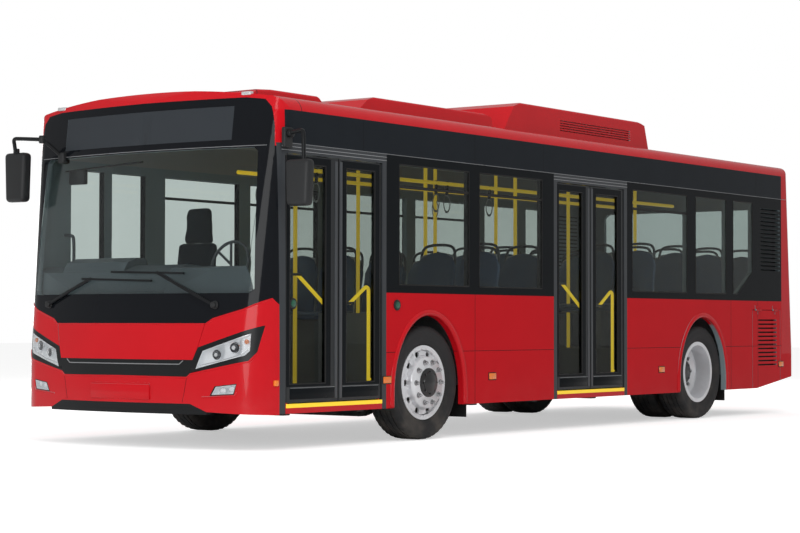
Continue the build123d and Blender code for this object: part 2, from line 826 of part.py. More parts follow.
def spin(points, axle, x, sign, mode=Mode.ADD, round_at=()):
    """Turn a section, given as offset outwards and radius, about the wheel's axis."""
    plane = wheel_plane(axle, x, sign)
    with BuildSketch(plane) as section:
        with BuildLine():
            Polyline(*points, close=True)
        make_face()
        for radius, size in round_at:
            marks = [v for v in section.vertices() if abs(v.Y - radius) < 0.5]
            fillet(marks, size)
    revolve(section.sketch, axis=Axis(plane.origin, plane.x_dir), mode=mode)


def tyre_section(shift):
    """Return a tyre's outline, moved along its axle."""
    w = tyre_width / 2
    b = bead_half_width
    low = bead_radius
    cavity = tyre_radius - tyre_wall
    lip = flange_radius + 1.0
    belly = low + 75.0
    return [(shift + x, r) for x, r in (
        (-b, low), (-b, lip), (-w, belly), (-w, tyre_radius), (w, tyre_radius), (w, belly), (b, lip),
        (b, low), (b - tyre_wall, low), (w - tyre_wall, belly + 8), (w - tyre_wall - 8, cavity),
        (-w + tyre_wall + 8, cavity), (-w + tyre_wall, belly + 8), (-b + tyre_wall, low),
    )]


def barrel_section(shift):
    """Return a rim barrel's outline: a tube with a flange at each end."""
    b = bead_half_width
    inside = rim_well_radius
    return [(shift + x, r) for x, r in (
        (-b - flange_width, inside), (b + flange_width, inside),
        (b + flange_width, flange_radius), (b, flange_radius),
        (b, bead_radius), (-b, bead_radius), (-b, flange_radius),
        (-b - flange_width, flange_radius),
    )]


def cut_hand_holes(axle, x, sign, hole, offset, depth):
    """Cut the ring of hand holes, given as their radius and their circle's, through a disc."""
    radius, circle = hole
    plane = wheel_plane(axle, x, sign)
    with BuildSketch(Plane(
        origin=plane.origin + plane.x_dir * offset, x_dir=(0, 1, 0), z_dir=plane.x_dir,
    )) as holes:
        with PolarLocations(circle, hand_holes):
            Circle(radius)
    extrude(holes.sketch, amount=depth, mode=Mode.SUBTRACT)


disc_face = 156.0
front_disc = ((66.0, rim_well_radius + 2), (96.0, 254.0), (100.0, 214.0),
              (disc_face - 10.0, 206.0), (disc_face, 196.0),
              (disc_face, 60.0), (disc_face - disc_wall, 60.0), (disc_face - disc_wall, 190.0),
              (100.0 - disc_wall, 200.0), (96.0 - disc_wall, 244.0), (66.0 - disc_wall, rim_well_radius + 2))
front_hub = ((-60.0, spindle_radius + running_fit), (90.0, spindle_radius + running_fit),
             (90.0, 0.0), (disc_face + 16.0, 0.0), (disc_face + 16.0, 60.0), (disc_face - 2.0, 78.0), (-60.0, 78.0))
outer_disc = ((-52.0, rim_well_radius + 2), (-58.0, 248.0), (-84.0, 226.0), (-112.0, 182.0),
              (-112.0, 60.0), (-twin_spacing / 2, 60.0), (-twin_spacing / 2, 186.0), (-104.0, 232.0),
              (-70.0, rim_well_radius + 2))
inner_disc = [(-twin_spacing - x, r) for x, r in outer_disc]
rear_hub = ((-330.0, rear_spindle_radius + running_fit), (-60.0, rear_spindle_radius + running_fit),
            (-60.0, 0.0), (-30.0, 0.0), (-30.0, 100.0), (-70.0, 118.0), (-330.0, 118.0))

for sign, side_name in ((1, "left"), (-1, "right")):
    with BuildPart() as front_rim:
        spin(barrel_section(0), front_axle, wheel_x, sign)
        spin(front_disc, front_axle, wheel_x, sign)
        spin(front_hub, front_axle, wheel_x, sign)
        cut_hand_holes(front_axle, wheel_x, sign, front_hole, 60.0, 60.0)
    save(front_rim, f"front_{side_name}_rim")
    with BuildPart() as front_tyre:
        spin(tyre_section(0), front_axle, wheel_x, sign)
        crown = front_tyre.edges().filter_by(GeomType.CIRCLE)
        fillet([e for e in crown if abs(e.radius - tyre_radius) < 1], tread_shoulder)
    save(front_tyre, f"front_{side_name}_tyre")
    with BuildPart() as rear_rims:
        spin(barrel_section(0), rear_axle, wheel_x, sign)
        spin(barrel_section(-twin_spacing), rear_axle, wheel_x, sign)
        spin(outer_disc, rear_axle, wheel_x, sign)
        spin(inner_disc, rear_axle, wheel_x, sign)
        spin(rear_hub, rear_axle, wheel_x, sign)
        cut_hand_holes(rear_axle, wheel_x, sign, rear_hole, -300.0, 260.0)
    save(rear_rims, f"rear_{side_name}_rims")
    with BuildPart() as rear_tyres:
        spin(tyre_section(0), rear_axle, wheel_x, sign)
        spin(tyre_section(-twin_spacing), rear_axle, wheel_x, sign)
        crown = rear_tyres.edges().filter_by(GeomType.CIRCLE)
        fillet([e for e in crown if abs(e.radius - tyre_radius) < 1], tread_shoulder)
    save(rear_tyres, f"rear_{side_name}_tyres")

yoke_low = tyre_radius - kingpin_boss_height / 2 - yoke_gap
yoke_high = tyre_radius + kingpin_boss_height / 2 + yoke_gap
yoke_back = kingpin_x + kingpin_boss_radius + 12.0
spindle_end = wheel_x + 84.0

with BuildPart() as front_axle_beam:
    beam = (
        (-beam_knee_x, beam_bottom), (beam_knee_x, beam_bottom), (beam_knee_x + 60.0, beam_bottom + 20.0),
        (kingpin_x - 60.0, tyre_radius - 36.0), (kingpin_x, tyre_radius - 36.0),
        (kingpin_x, tyre_radius + 36.0), (kingpin_x - 50.0, tyre_radius + 30.0),
        (beam_knee_x - 40.0, beam_bottom + beam_height), (-beam_knee_x + 40.0, beam_bottom + beam_height),
        (-kingpin_x + 50.0, tyre_radius + 30.0), (-kingpin_x, tyre_radius + 36.0),
        (-kingpin_x, tyre_radius - 36.0), (-kingpin_x + 60.0, tyre_radius - 36.0),
        (-beam_knee_x - 60.0, beam_bottom + 20.0),
    )
    face = drawn_face(Plane.XZ.offset(-front_axle - beam_half_depth), beam)
    extrude(face, amount=2 * beam_half_depth)
    for sign in (1, -1):
        with Locations((sign * kingpin_x, front_axle, tyre_radius)):
            Cylinder(kingpin_boss_radius, kingpin_boss_height)
        span(
            (sign * (rail_x[0] + 10), sign * (rail_x[1] - 10)),
            (front_axle - beam_half_depth, front_axle + beam_half_depth),
            (beam_bottom + beam_height, low_rail_z[0]),
        )
    for sign in (1, -1):
        with Locations((sign * kingpin_x, front_axle, tyre_radius)):
            Cylinder(kingpin_radius + running_fit, kingpin_boss_height * 2, mode=Mode.SUBTRACT)
        # Room for the yoke's back plate
        span(
            (sign * yoke_back, sign * (yoke_back + 100)),
            (front_axle - 100, front_axle + 100),
            (0, 2 * tyre_radius), Mode.SUBTRACT,
        )
save(front_axle_beam, "front_axle")

for sign, side_name in ((1, "left"), (-1, "right")):
    with BuildPart() as knuckle:
        for low, high in ((yoke_low - yoke_thickness, yoke_low), (yoke_high, yoke_high + yoke_thickness)):
            with Locations((sign * kingpin_x, front_axle, (low + high) / 2)):
                Cylinder(kingpin_boss_radius, high - low)
            span(
                (sign * kingpin_x, sign * (yoke_back + 20)),
                (front_axle - kingpin_boss_radius, front_axle + kingpin_boss_radius), (low, high),
            )
        span(
            (sign * yoke_back, sign * (yoke_back + 20)),
            (front_axle - kingpin_boss_radius, front_axle + kingpin_boss_radius),
            (yoke_low - yoke_thickness, yoke_high + yoke_thickness),
        )
        with Locations((sign * kingpin_x, front_axle, tyre_radius)):
            Cylinder(kingpin_radius, yoke_high - yoke_low + 2 * yoke_thickness)
        with BuildSketch(wheel_plane(front_axle, 0, sign)) as stub:
            with BuildLine():
                Polyline(
                    (yoke_back, 0), (spindle_end, 0), (spindle_end, spindle_radius),
                    (wheel_x - 70.0, spindle_radius), (wheel_x - 70.0, 62.0), (yoke_back, 62.0),
                    close=True,
                )
            make_face()
        plane = wheel_plane(front_axle, 0, sign)
        revolve(stub.sketch, axis=Axis(plane.origin, plane.x_dir))
    save(knuckle, f"{side_name}_knuckle")

axle_tube_radius = 70.0
axle_tube_end = wheel_x - 348.0
differential_radius = 165.0
pad_half = 45.0
with BuildPart() as rear_axle_housing:
    with Locations(Plane(origin=(0, rear_axle, tyre_radius), z_dir=(1, 0, 0))):
        Cylinder(axle_tube_radius, 2 * axle_tube_end)
        Cylinder(rear_spindle_radius, 2 * (wheel_x - 66.0))
        Cylinder(differential_radius, 240.0)
    for sign in (1, -1):
        span(
            (sign * (rail_x[0] + 5), sign * (rail_x[1] - 5)),
            (rear_axle - pad_half, rear_axle + pad_half), (tyre_radius, high_rail_z[0]),
        )
save(rear_axle_housing, "rear_axle")

flap_wall = 8.0
flap_z = (160.0, 420.0)
with BuildPart() as mudflaps:
    for axle, offset, inside in ((front_axle, front_box_y[1], 985.0), (rear_axle, rear_box_y[1], 640.0)):
        for sign in (1, -1):
            y = axle + offset - flap_wall
            span((sign * inside, sign * (half - wall)), (y, y + flap_wall), flap_z)
save(mudflaps, "mudflaps")

# ---------------------------------------------------------------- cabin
dash_x = (-1180.0, 330.0)
cowl_x = (330.0, 1200.0)
dash_profile = (
    (-2300.0, floor_top), (-2300.0, 1125.0), (-2060.0, 1160.0), (-1960.0, 1320.0), (-1820.0, 1375.0),
    (-1690.0, 1370.0), (-1640.0, 1300.0), (-1600.0, 1080.0), (-1760.0, 780.0), (-1840.0, floor_top),
)
cowl_profile = (
    (-2300.0, floor_top), (-2300.0, 1125.0), (-2090.0, 1160.0), (-2010.0, 1340.0), (-1960.0, 1350.0),
    (-1940.0, floor_top),
)
binnacle_profile = (
    (-1960.0, 1310.0), (-1900.0, 1400.0), (-1800.0, 1435.0), (-1700.0, 1430.0), (-1650.0, 1310.0),
)
driver_x = -550.0
binnacle_half = 330.0


def at_front(points):
    """Place a side profile that is written from the front axle."""
    return [(front_axle + y, z) for y, z in points]


with BuildPart() as dashboard:
    from_side(at_front(dash_profile), *dash_x, mode=Mode.ADD)
    from_side(at_front(cowl_profile), *cowl_x, mode=Mode.ADD)
    left_edge, right_edge = driver_x - binnacle_half, driver_x + binnacle_half
    from_side(at_front(binnacle_profile), left_edge, right_edge, mode=Mode.ADD)
    add(inner, mode=Mode.INTERSECT)
save(dashboard, "dashboard")

wheel_centre = (driver_x, front_axle - 1400.0, 1120.0)
wheel_tilt = 35.0
wheel_ring = 220.0
wheel_tube = 15.0
hub_radius = 55.0
hub_height = 30.0
spoke_width = 34.0
spoke_height = 14.0
column_radius = 28.0
column_length = 780.0
steering_axis = (0, sin(radians(wheel_tilt)), cos(radians(wheel_tilt)))
with BuildPart() as steering_wheel:
    with Locations(Plane(origin=wheel_centre, x_dir=(1, 0, 0), z_dir=steering_axis)):
        Torus(wheel_ring, wheel_tube)
        Cylinder(hub_radius, hub_height)
        Box(2 * wheel_ring, spoke_width, spoke_height)
        with Locations((0, -wheel_ring / 2, 0)):
            Box(spoke_width, wheel_ring, spoke_height)
        Cylinder(column_radius, column_length, align=(Align.CENTER, Align.CENTER, Align.MAX))
    add(dashboard.part, mode=Mode.SUBTRACT)
save(steering_wheel, "steering_wheel")

driver_y = front_axle - 930.0
podium_top = 520.0
cushion_base = 760.0
# Upright parts of the driver's seat, from its own middle: half width, y and z
driver_blocks = (
    (300.0, (-330.0, 150.0), (floor_top, podium_top)),
    (140.0, (-220.0, 90.0), (podium_top, cushion_base)),
    (245.0, (-290.0, 160.0), (cushion_base, 870.0)),
)
# Its leaning back and head rest: half width and the corners as y and z
driver_slopes = (
    (245.0, ((60.0, 800.0), (160.0, 800.0), (240.0, 1620.0), (140.0, 1620.0))),
    (165.0, ((145.0, 1610.0), (230.0, 1610.0), (250.0, 1900.0), (175.0, 1900.0))),
)
with BuildPart() as driver_seat:
    for half_wide, y, z in driver_blocks:
        span((driver_x - half_wide, driver_x + half_wide), (driver_y + y[0], driver_y + y[1]), z)
    for half_wide, corners in driver_slopes:
        side_view = [(driver_y + y, z) for y, z in corners]
        from_side(side_view, driver_x - half_wide, driver_x + half_wide, mode=Mode.ADD)
save(driver_seat, "driver_seat")

seat_width = 430.0
seat_gap = 20.0
seat_cushion = 60.0
seat_depth = 400.0
seat_back = 510.0
seat_back_lean = 80.0
seat_height = 430.0
seat_back_top = 45.0
seat_wall_gap = 10.0
pedestal_half = 60.0
pedestal_inset = 60.0
low_seat_rise = 270.0
# Pairs of places: y from the front axle, foot, height of the feet's rest, sides
seat_rows = (
    (1080.0, floor_top, floor_top + low_seat_rise, (-1,)),
    (1760.0, floor_top, floor_top + low_seat_rise, (-1,)),
    (2440.0, floor_top, floor_top + low_seat_rise, (-1,)),
    (1060.0, floor_top, floor_top + low_seat_rise, (1,)),
    (1720.0, floor_top, floor_top + low_seat_rise, (1,)),
    (3760.0, platform_top, platform_top, (1, -1)),
    (wheelbase - 150.0, box_top + box_plate, platform_top, (1, -1)),
    (wheelbase + 520.0, box_top + box_plate, platform_top, (1, -1)),
    (wheelbase + 1290.0, platform_top, platform_top, (1, -1)),
)
pair_width = 2 * seat_width + seat_gap
pair_inside = half - wall - seat_wall_gap - pair_width


def seat_pair(sign, y, foot, base):
    """Add a pair of joined places facing forwards on one side."""
    x = (sign * pair_inside, sign * (pair_inside + pair_width))
    top = base + seat_height
    span(x, (y - seat_depth, y), (top - seat_cushion, top))
    back = (
        (y - seat_cushion, top - seat_cushion), (y, top - seat_cushion),
        (y + seat_back_lean, top + seat_back), (y + seat_back_lean - seat_back_top, top + seat_back),
    )
    from_side(back, min(x), max(x), mode=Mode.ADD)
    centre = sign * (pair_inside + pair_width / 2)
    middle = (centre - pedestal_half, centre + pedestal_half)
    span(middle, (y - seat_depth + pedestal_inset, y - pedestal_inset), (foot, top - seat_cushion))


with BuildPart() as passenger_seats:
    for y, foot, base, signs in seat_rows:
        for sign in signs:
            seat_pair(sign, front_axle + y, foot, base)
save(passenger_seats, "passenger_seats")

pole_radius = 17.0
overhead_x = 305.0
overhead_z = 2180.0
overhead_y = (front_axle - 520.0, tail - 900.0)
# Poles: x, y from the front axle, foot
poles = (
    (305.0, -520.0, floor_top), (305.0, 1290.0, floor_top), (305.0, 2740.0, floor_top),
    (-305.0, 1110.0, floor_top), (-305.0, 2300.0, floor_top),
    (305.0, 3690.0, platform_top), (-305.0, 3330.0, platform_top),
    (305.0, 5000.0, platform_top), (-305.0, 5000.0, platform_top),
)
with BuildPart() as handrails:
    for sign in (1, -1):
        with BuildSketch(Plane.XZ.offset(-overhead_y[0])) as end:
            with Locations((sign * overhead_x, overhead_z)):
                Circle(pole_radius)
        extrude(end.sketch, amount=-(overhead_y[1] - overhead_y[0]))
    for x, y, foot in poles:
        with BuildSketch(Plane.XY.offset(foot)) as end:
            with Locations((x, front_axle + y)):
                Circle(pole_radius)
        extrude(end.sketch, amount=hull_top - foot)
    add(inner, mode=Mode.INTERSECT)
save(handrails, "handrails")

# ---------------------------------------------------------------- mirrors and wipers
arm_radius = 16.0
with BuildPart() as mirrors:
    # Left: bracket on the corner, arm out and down, head
    span((half - wall, half + 22), (front_axle - 1850.0, front_axle - 1765.0), (2215.0, 2360.0))
    add(outer, mode=Mode.SUBTRACT)
    with BuildLine() as left_arm:
        FilletPolyline(
            (half + 10, front_axle - 1810.0, 2320.0), (half + 190, front_axle - 1850.0, 2330.0),
            (half + 215, front_axle - 1870.0, 2060.0), radius=60.0,
        )
    with BuildSketch(Plane(origin=left_arm.line @ 0, z_dir=left_arm.line % 0)):
        Circle(arm_radius)
    sweep()
    span((half + 95, half + 265), (front_axle - 1950.0, front_axle - 1860.0), (1775.0, 2110.0))
    # Right: arm up and out from the mask, head beside the corner
    with BuildLine() as right_arm:
        FilletPolyline(
            (-880.0, front_axle - 1930.0, 2215.0), (-960.0, front_axle - 2100.0, 2370.0),
            (-1270.0, front_axle - 2110.0, 2390.0), (-1305.0, front_axle - 2050.0, 2200.0), radius=50.0,
        )
    with BuildSketch(Plane(origin=right_arm.line @ 0, z_dir=right_arm.line % 0)):
        Circle(arm_radius)
    sweep()
    span((-1460.0, -1200.0), (front_axle - 2085.0, front_axle - 1985.0), (1890.0, 2280.0))
    add(outer, mode=Mode.SUBTRACT)
save(mirrors, "mirrors")

# Wipers as x and height: pivot, arm's end, blade's start and end
wiper_arms = (
    ((-894.0, 1075.0), (-389.0, 1266.0), (-485.0, 1268.0), (259.0, 1245.0)),
    ((837.0, 1063.0), (309.0, 1308.0), (-158.0, 1316.0), (554.0, 1298.0)),
)
arm_half = 12.0
blade_half = 8.0
wiper_pivot = 20.0
wiper_layer = (8.0, 26.0)
post_layer = (0.3, 26.0)


def wiper_shapes(pivots_only):
    """Return the outlines of the wipers, or of their pivots alone, as upright prisms."""
    with BuildPart() as made:
        for pivot, tip, start, end in wiper_arms:
            with BuildSketch(Plane.XZ.offset(-front_post)) as disc:
                with Locations(pivot):
                    Circle(wiper_pivot)
            extrude(disc.sketch, amount=reach)
            if pivots_only:
                continue
            for (ax, az), (bx, bz), thick in ((pivot, tip, arm_half), (start, end, blade_half)):
                strip = ((ax, az - thick), (bx, bz - thick), (bx, bz + thick), (ax, az + thick))
                from_front(strip, both=False, mode=Mode.ADD)
    return made.part


def over_hull(layer, shapes):
    """Return what an outline cuts from a layer outside the hull."""
    with BuildPart() as made:
        add(module(hull(-layer[1]), (nose - reach, front_post)))
        add(hull(-layer[0]), mode=Mode.SUBTRACT)
        add(shapes, mode=Mode.INTERSECT)
    return made.part


with BuildPart() as wipers:
    add(over_hull(wiper_layer, wiper_shapes(False)))
    add(over_hull(post_layer, wiper_shapes(True)))
save(wipers, "wipers")
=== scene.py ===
"""Looks of a low-entry city bus, dressed over its packed construction.

Metres; the front faces -Y and the doors are at +X.
"""

from __future__ import annotations

import logging
import math
from dataclasses import dataclass
from enum import Enum

import bpy
from mathutils import Euler, Matrix, Vector


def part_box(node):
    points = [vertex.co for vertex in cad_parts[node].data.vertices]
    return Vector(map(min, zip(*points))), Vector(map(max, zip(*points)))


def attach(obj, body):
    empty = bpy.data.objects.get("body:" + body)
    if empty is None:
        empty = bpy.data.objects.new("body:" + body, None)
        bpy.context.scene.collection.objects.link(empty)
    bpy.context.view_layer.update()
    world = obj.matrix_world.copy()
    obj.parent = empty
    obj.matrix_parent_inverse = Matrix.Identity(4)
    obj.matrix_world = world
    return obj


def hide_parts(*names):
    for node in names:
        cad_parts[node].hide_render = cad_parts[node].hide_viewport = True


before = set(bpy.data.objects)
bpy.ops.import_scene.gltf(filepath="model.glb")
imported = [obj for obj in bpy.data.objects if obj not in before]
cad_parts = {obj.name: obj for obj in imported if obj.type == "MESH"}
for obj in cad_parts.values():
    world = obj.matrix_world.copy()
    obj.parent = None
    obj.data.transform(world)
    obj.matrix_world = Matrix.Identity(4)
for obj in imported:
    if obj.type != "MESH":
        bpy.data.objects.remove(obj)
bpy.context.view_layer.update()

log = logging.getLogger("bus")
BODY = "bus_body"
Point = tuple[float, float, float]
Pair = tuple[float, float]


# ------------------------------------------------------------------ places read from the frame
def middle_of(node: str) -> Vector:
    """Return the middle of a CAD node's box."""
    low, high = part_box(node)
    return (low + high) / 2


FRONT_AXLE = middle_of("front_left_tyre").y
REAR_AXLE = middle_of("rear_left_tyres").y
HUB_HEIGHT = middle_of("front_left_tyre").z
TYRE_RADIUS = (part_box("front_left_tyre")[1].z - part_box("front_left_tyre")[0].z) / 2
TYRE_HALF = (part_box("front_left_tyre")[1].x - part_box("front_left_tyre")[0].x) / 2
WHEEL_X = middle_of("front_left_tyre").x
HALF = -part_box("right_window_wall")[0].x
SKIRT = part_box("right_lower_wall")[0].z
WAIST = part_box("right_window_wall")[0].z
BAND_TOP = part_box("right_window_wall")[1].z
ROOF_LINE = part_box("cant_rails")[1].z
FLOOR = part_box("door_sills")[1].z
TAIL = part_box("rear_bumper")[1].y
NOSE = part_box("bumper")[0].y


class Side(Enum):
    """The two sides of the bus, by the sign of X."""

    LEFT = 1
    RIGHT = -1


class Axis(Enum):
    """An axis of the frame, by its place in a vector."""

    X = 0
    Y = 1
    Z = 2


def surface_y(x: float, z: float, nodes: tuple[str, ...], from_rear: bool = False) -> float | None:
    """Find where a ray along the bus first meets one of several panels.

    Args:
        x: Place across the bus.
        z: Height.
        nodes: The panels that may be hit.
        from_rear: Cast forwards from behind the bus instead of backwards from ahead of it.

    Returns:
        The Y of the nearest hit, or None if the ray misses them all.
    """
    start = Vector((x, 12.0 if from_rear else -12.0, z))
    way = Vector((0, -1.0 if from_rear else 1.0, 0))
    best = None
    for name in nodes:
        hit, place, _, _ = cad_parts[name].ray_cast(start, way)
        if hit and (best is None or (place.y > best if from_rear else place.y < best)):
            best = place.y
    return best


def front_y(x: float, z: float, nodes: tuple[str, ...]) -> float:
    """Return where the front's panels lie, or the nose where a ray misses them."""
    return surface_y(x, z, nodes) or NOSE


def laid_line(
    points: tuple[Pair, ...], nodes: tuple[str, ...], out: float, steps: int, sign: int = 1
) -> list[Point]:
    """Lay a line given across and up on the front's curved face.

    Args:
        points: The line's corners, across and up.
        nodes: The panels that it lies on.
        out: How far it stands off them; less than nothing sinks it.
        steps: Steps between two corners.
        sign: -1 mirrors the line to the right side.

    Returns:
        The places of the line, without those where a ray misses the panels.
    """
    laid = []
    for (x0, z0), (x1, z1) in zip(points, points[1:]):
        for step in range(steps + (points[-1] == (x1, z1))):
            share = step / steps
            x, z = sign * (x0 + (x1 - x0) * share), z0 + (z1 - z0) * share
            y = surface_y(x, z, nodes)
            if y is not None:
                laid.append((x, y - out, z))
    return laid


def turned_by(x: float = 0.0, y: float = 0.0, z: float = 0.0) -> Matrix:
    """Return the rotation by some degrees about each axis."""
    return Euler([math.radians(part) for part in (x, y, z)]).to_matrix()


def scaled(profile: tuple[Pair, ...], size: float) -> tuple[Pair, ...]:
    """Return a turned profile whose radii were given as shares of a size."""
    return tuple((max(0.001, size * share), height) for share, height in profile)


def box_of(places: list[Point]) -> tuple[Vector, Vector]:
    """Return the lowest and the highest corner of some places."""
    columns = list(zip(*places))
    return Vector([min(column) for column in columns]), Vector([max(column) for column in columns])


def rim_of(flat: list[Pair]) -> list[Pair]:
    """Return the convex outline of some flat places, in order.

    Args:
        flat: The places.

    Returns:
        The outline's corners.
    """
    places = sorted(set(flat))

    def half_rim(run: list[Pair]) -> list[Pair]:
        """Walk one half of the outline.

        Args:
            run: The places, sorted.

        Returns:
            This half's corners, but for the last.
        """
        kept: list[Pair] = []
        for place in run:
            while len(kept) > 1:
                (ax, ay), (bx, by) = kept[-2:]
                if (bx - ax) * (place[1] - ay) - (by - ay) * (place[0] - ax) > 1e-7:
                    break
                kept.pop()
            kept.append(place)
        return kept[:-1]

    return half_rim(places) + half_rim(places[::-1])


def islands(node: bpy.types.Object) -> list[list[Point]]:
    """Return the corners of each separate solid of a node.

    Args:
        node: The CAD node's object.

    Returns:
        One list of corners for each solid.
    """
    mesh = node.data
    parent: dict[tuple[int, int, int], tuple[int, int, int]] = {}

    def key(index: int) -> tuple[int, int, int]:
        """Name a corner by its place in tenths of a millimetre."""
        return tuple(round(part * 1e4) for part in mesh.vertices[index].co)

    def root(name: tuple[int, int, int]) -> tuple[int, int, int]:
        """Follow a corner to the one that stands for its solid.

        Args:
            name: The corner's name.

        Returns:
            The name that stands for the whole solid.
        """
        while parent.setdefault(name, name) != name:
            parent[name] = parent[parent[name]]
            name = parent[name]
        return name

    for face in mesh.polygons:
        first, *others = [key(index) for index in face.vertices]
        for other in others:
            parent[root(other)] = root(first)
    found: dict[tuple[int, int, int], list[Point]] = {}
    for corner in mesh.vertices:
        found.setdefault(root(key(corner.index)), []).append(tuple(corner.co))
    return list(found.values())


# ------------------------------------------------------------------ shader node groups
def new_group(name: str, inputs: dict[str, float], outputs: tuple[str, ...]) -> bpy.types.NodeTree:
    """Make an empty shader group with number sockets.

    Args:
        name: The group's name.
        inputs: Each input's name and usual value.
        outputs: The outputs' names.

    Returns:
        The group's node tree, with its input and output nodes inside.
    """
    tree = bpy.data.node_groups.new(name, "ShaderNodeTree")
    for label, value in inputs.items():
        socket = tree.interface.new_socket(name=label, in_out="INPUT", socket_type="NodeSocketFloat")
        socket.default_value = value
    for label in outputs:
        tree.interface.new_socket(name=label, in_out="OUTPUT", socket_type="NodeSocketFloat")
    tree.nodes.new("NodeGroupInput").name = "in"
    tree.nodes.new("NodeGroupOutput").name = "out"
    return tree


@dataclass
class Wiring:
    """A small helper that adds nodes to a tree and joins them."""

    tree: bpy.types.NodeTree

    def node(self, kind: str, **settings: object) -> bpy.types.Node:
        """Add a node and set its plain properties.

        Args:
            kind: The node's type.
            **settings: Its properties and their values.

        Returns:
            The new node.
        """
        made = self.tree.nodes.new(kind)
        for key, value in settings.items():
            setattr(made, key, value)
        return made

    def feed(self, socket: bpy.types.NodeSocket, value: object) -> None:
        """Join a socket to another one, or set its number.

        Args:
            socket: The input.
            value: A socket to join it to, or its number.
        """
        if isinstance(value, bpy.types.NodeSocket):
            self.tree.links.new(value, socket)
        else:
            socket.default_value = value

    def sum(self, operation: str, *values: object, clamp: bool = False) -> bpy.types.NodeSocket:
        """Add a Math node and return its result.

        Args:
            operation: What the node does.
            *values: Its inputs, as sockets or numbers.
            clamp: Hold the result between 0 and 1.

        Returns:
            The result's socket.
        """
        made = self.node("ShaderNodeMath", operation=operation, use_clamp=clamp)
        for socket, value in zip(made.inputs, values):
            self.feed(socket, value)
        return made.outputs[0]

    def split(self, vector: bpy.types.NodeSocket) -> tuple[bpy.types.NodeSocket, ...]:
        """Return the three numbers of a vector.

        Args:
            vector: The vector's socket.

        Returns:
            The sockets of X, Y and Z.
        """
        made = self.node("ShaderNodeSeparateXYZ")
        self.feed(made.inputs[0], vector)
        return tuple(made.outputs)

    def noise(self, scale: object, detail: float = 3.0, vector: object = None) -> bpy.types.NodeSocket:
        """Return a noise value on Object coordinates, or on a vector that is given.

        Args:
            scale: How fine it is, as a socket or a number.
            detail: How many layers it has.
            vector: Where it is read, or None for Object coordinates.

        Returns:
            The noise's socket.
        """
        made = self.node("ShaderNodeTexNoise")
        source = vector or self.node("ShaderNodeTexCoord").outputs["Object"]
        self.feed(made.inputs["Vector"], source)
        self.feed(made.inputs["Scale"], scale)
        made.inputs["Detail"].default_value = detail
        return made.outputs["Fac"]

    def mix(self, share: object, first: object, second: object) -> bpy.types.NodeSocket:
        """Return a blend of two colours.

        Args:
            share: How much of the second colour shows.
            first: The first colour.
            second: The second colour.

        Returns:
            The blend's socket.
        """
        made = self.node("ShaderNodeMix", data_type="RGBA")
        self.feed(made.inputs["Factor"], share)
        for socket, value in ((made.inputs[6], first), (made.inputs[7], second)):
            if isinstance(value, tuple):
                value = (*value, 1.0)
            self.feed(socket, value)
        return made.outputs[2]

    def between(self, value: object, low: object, high: object) -> bpy.types.NodeSocket:
        """Return how far a value has gone from one limit to another, from 0 to 1.

        Args:
            value: The value.
            low: The limit that gives 0.
            high: The limit that gives 1.

        Returns:
            The share's socket.
        """
        made = self.node("ShaderNodeMapRange", interpolation_type="SMOOTHSTEP")
        self.feed(made.inputs["Value"], value)
        self.feed(made.inputs["From Min"], low)
        self.feed(made.inputs["From Max"], high)
        return made.outputs["Result"]


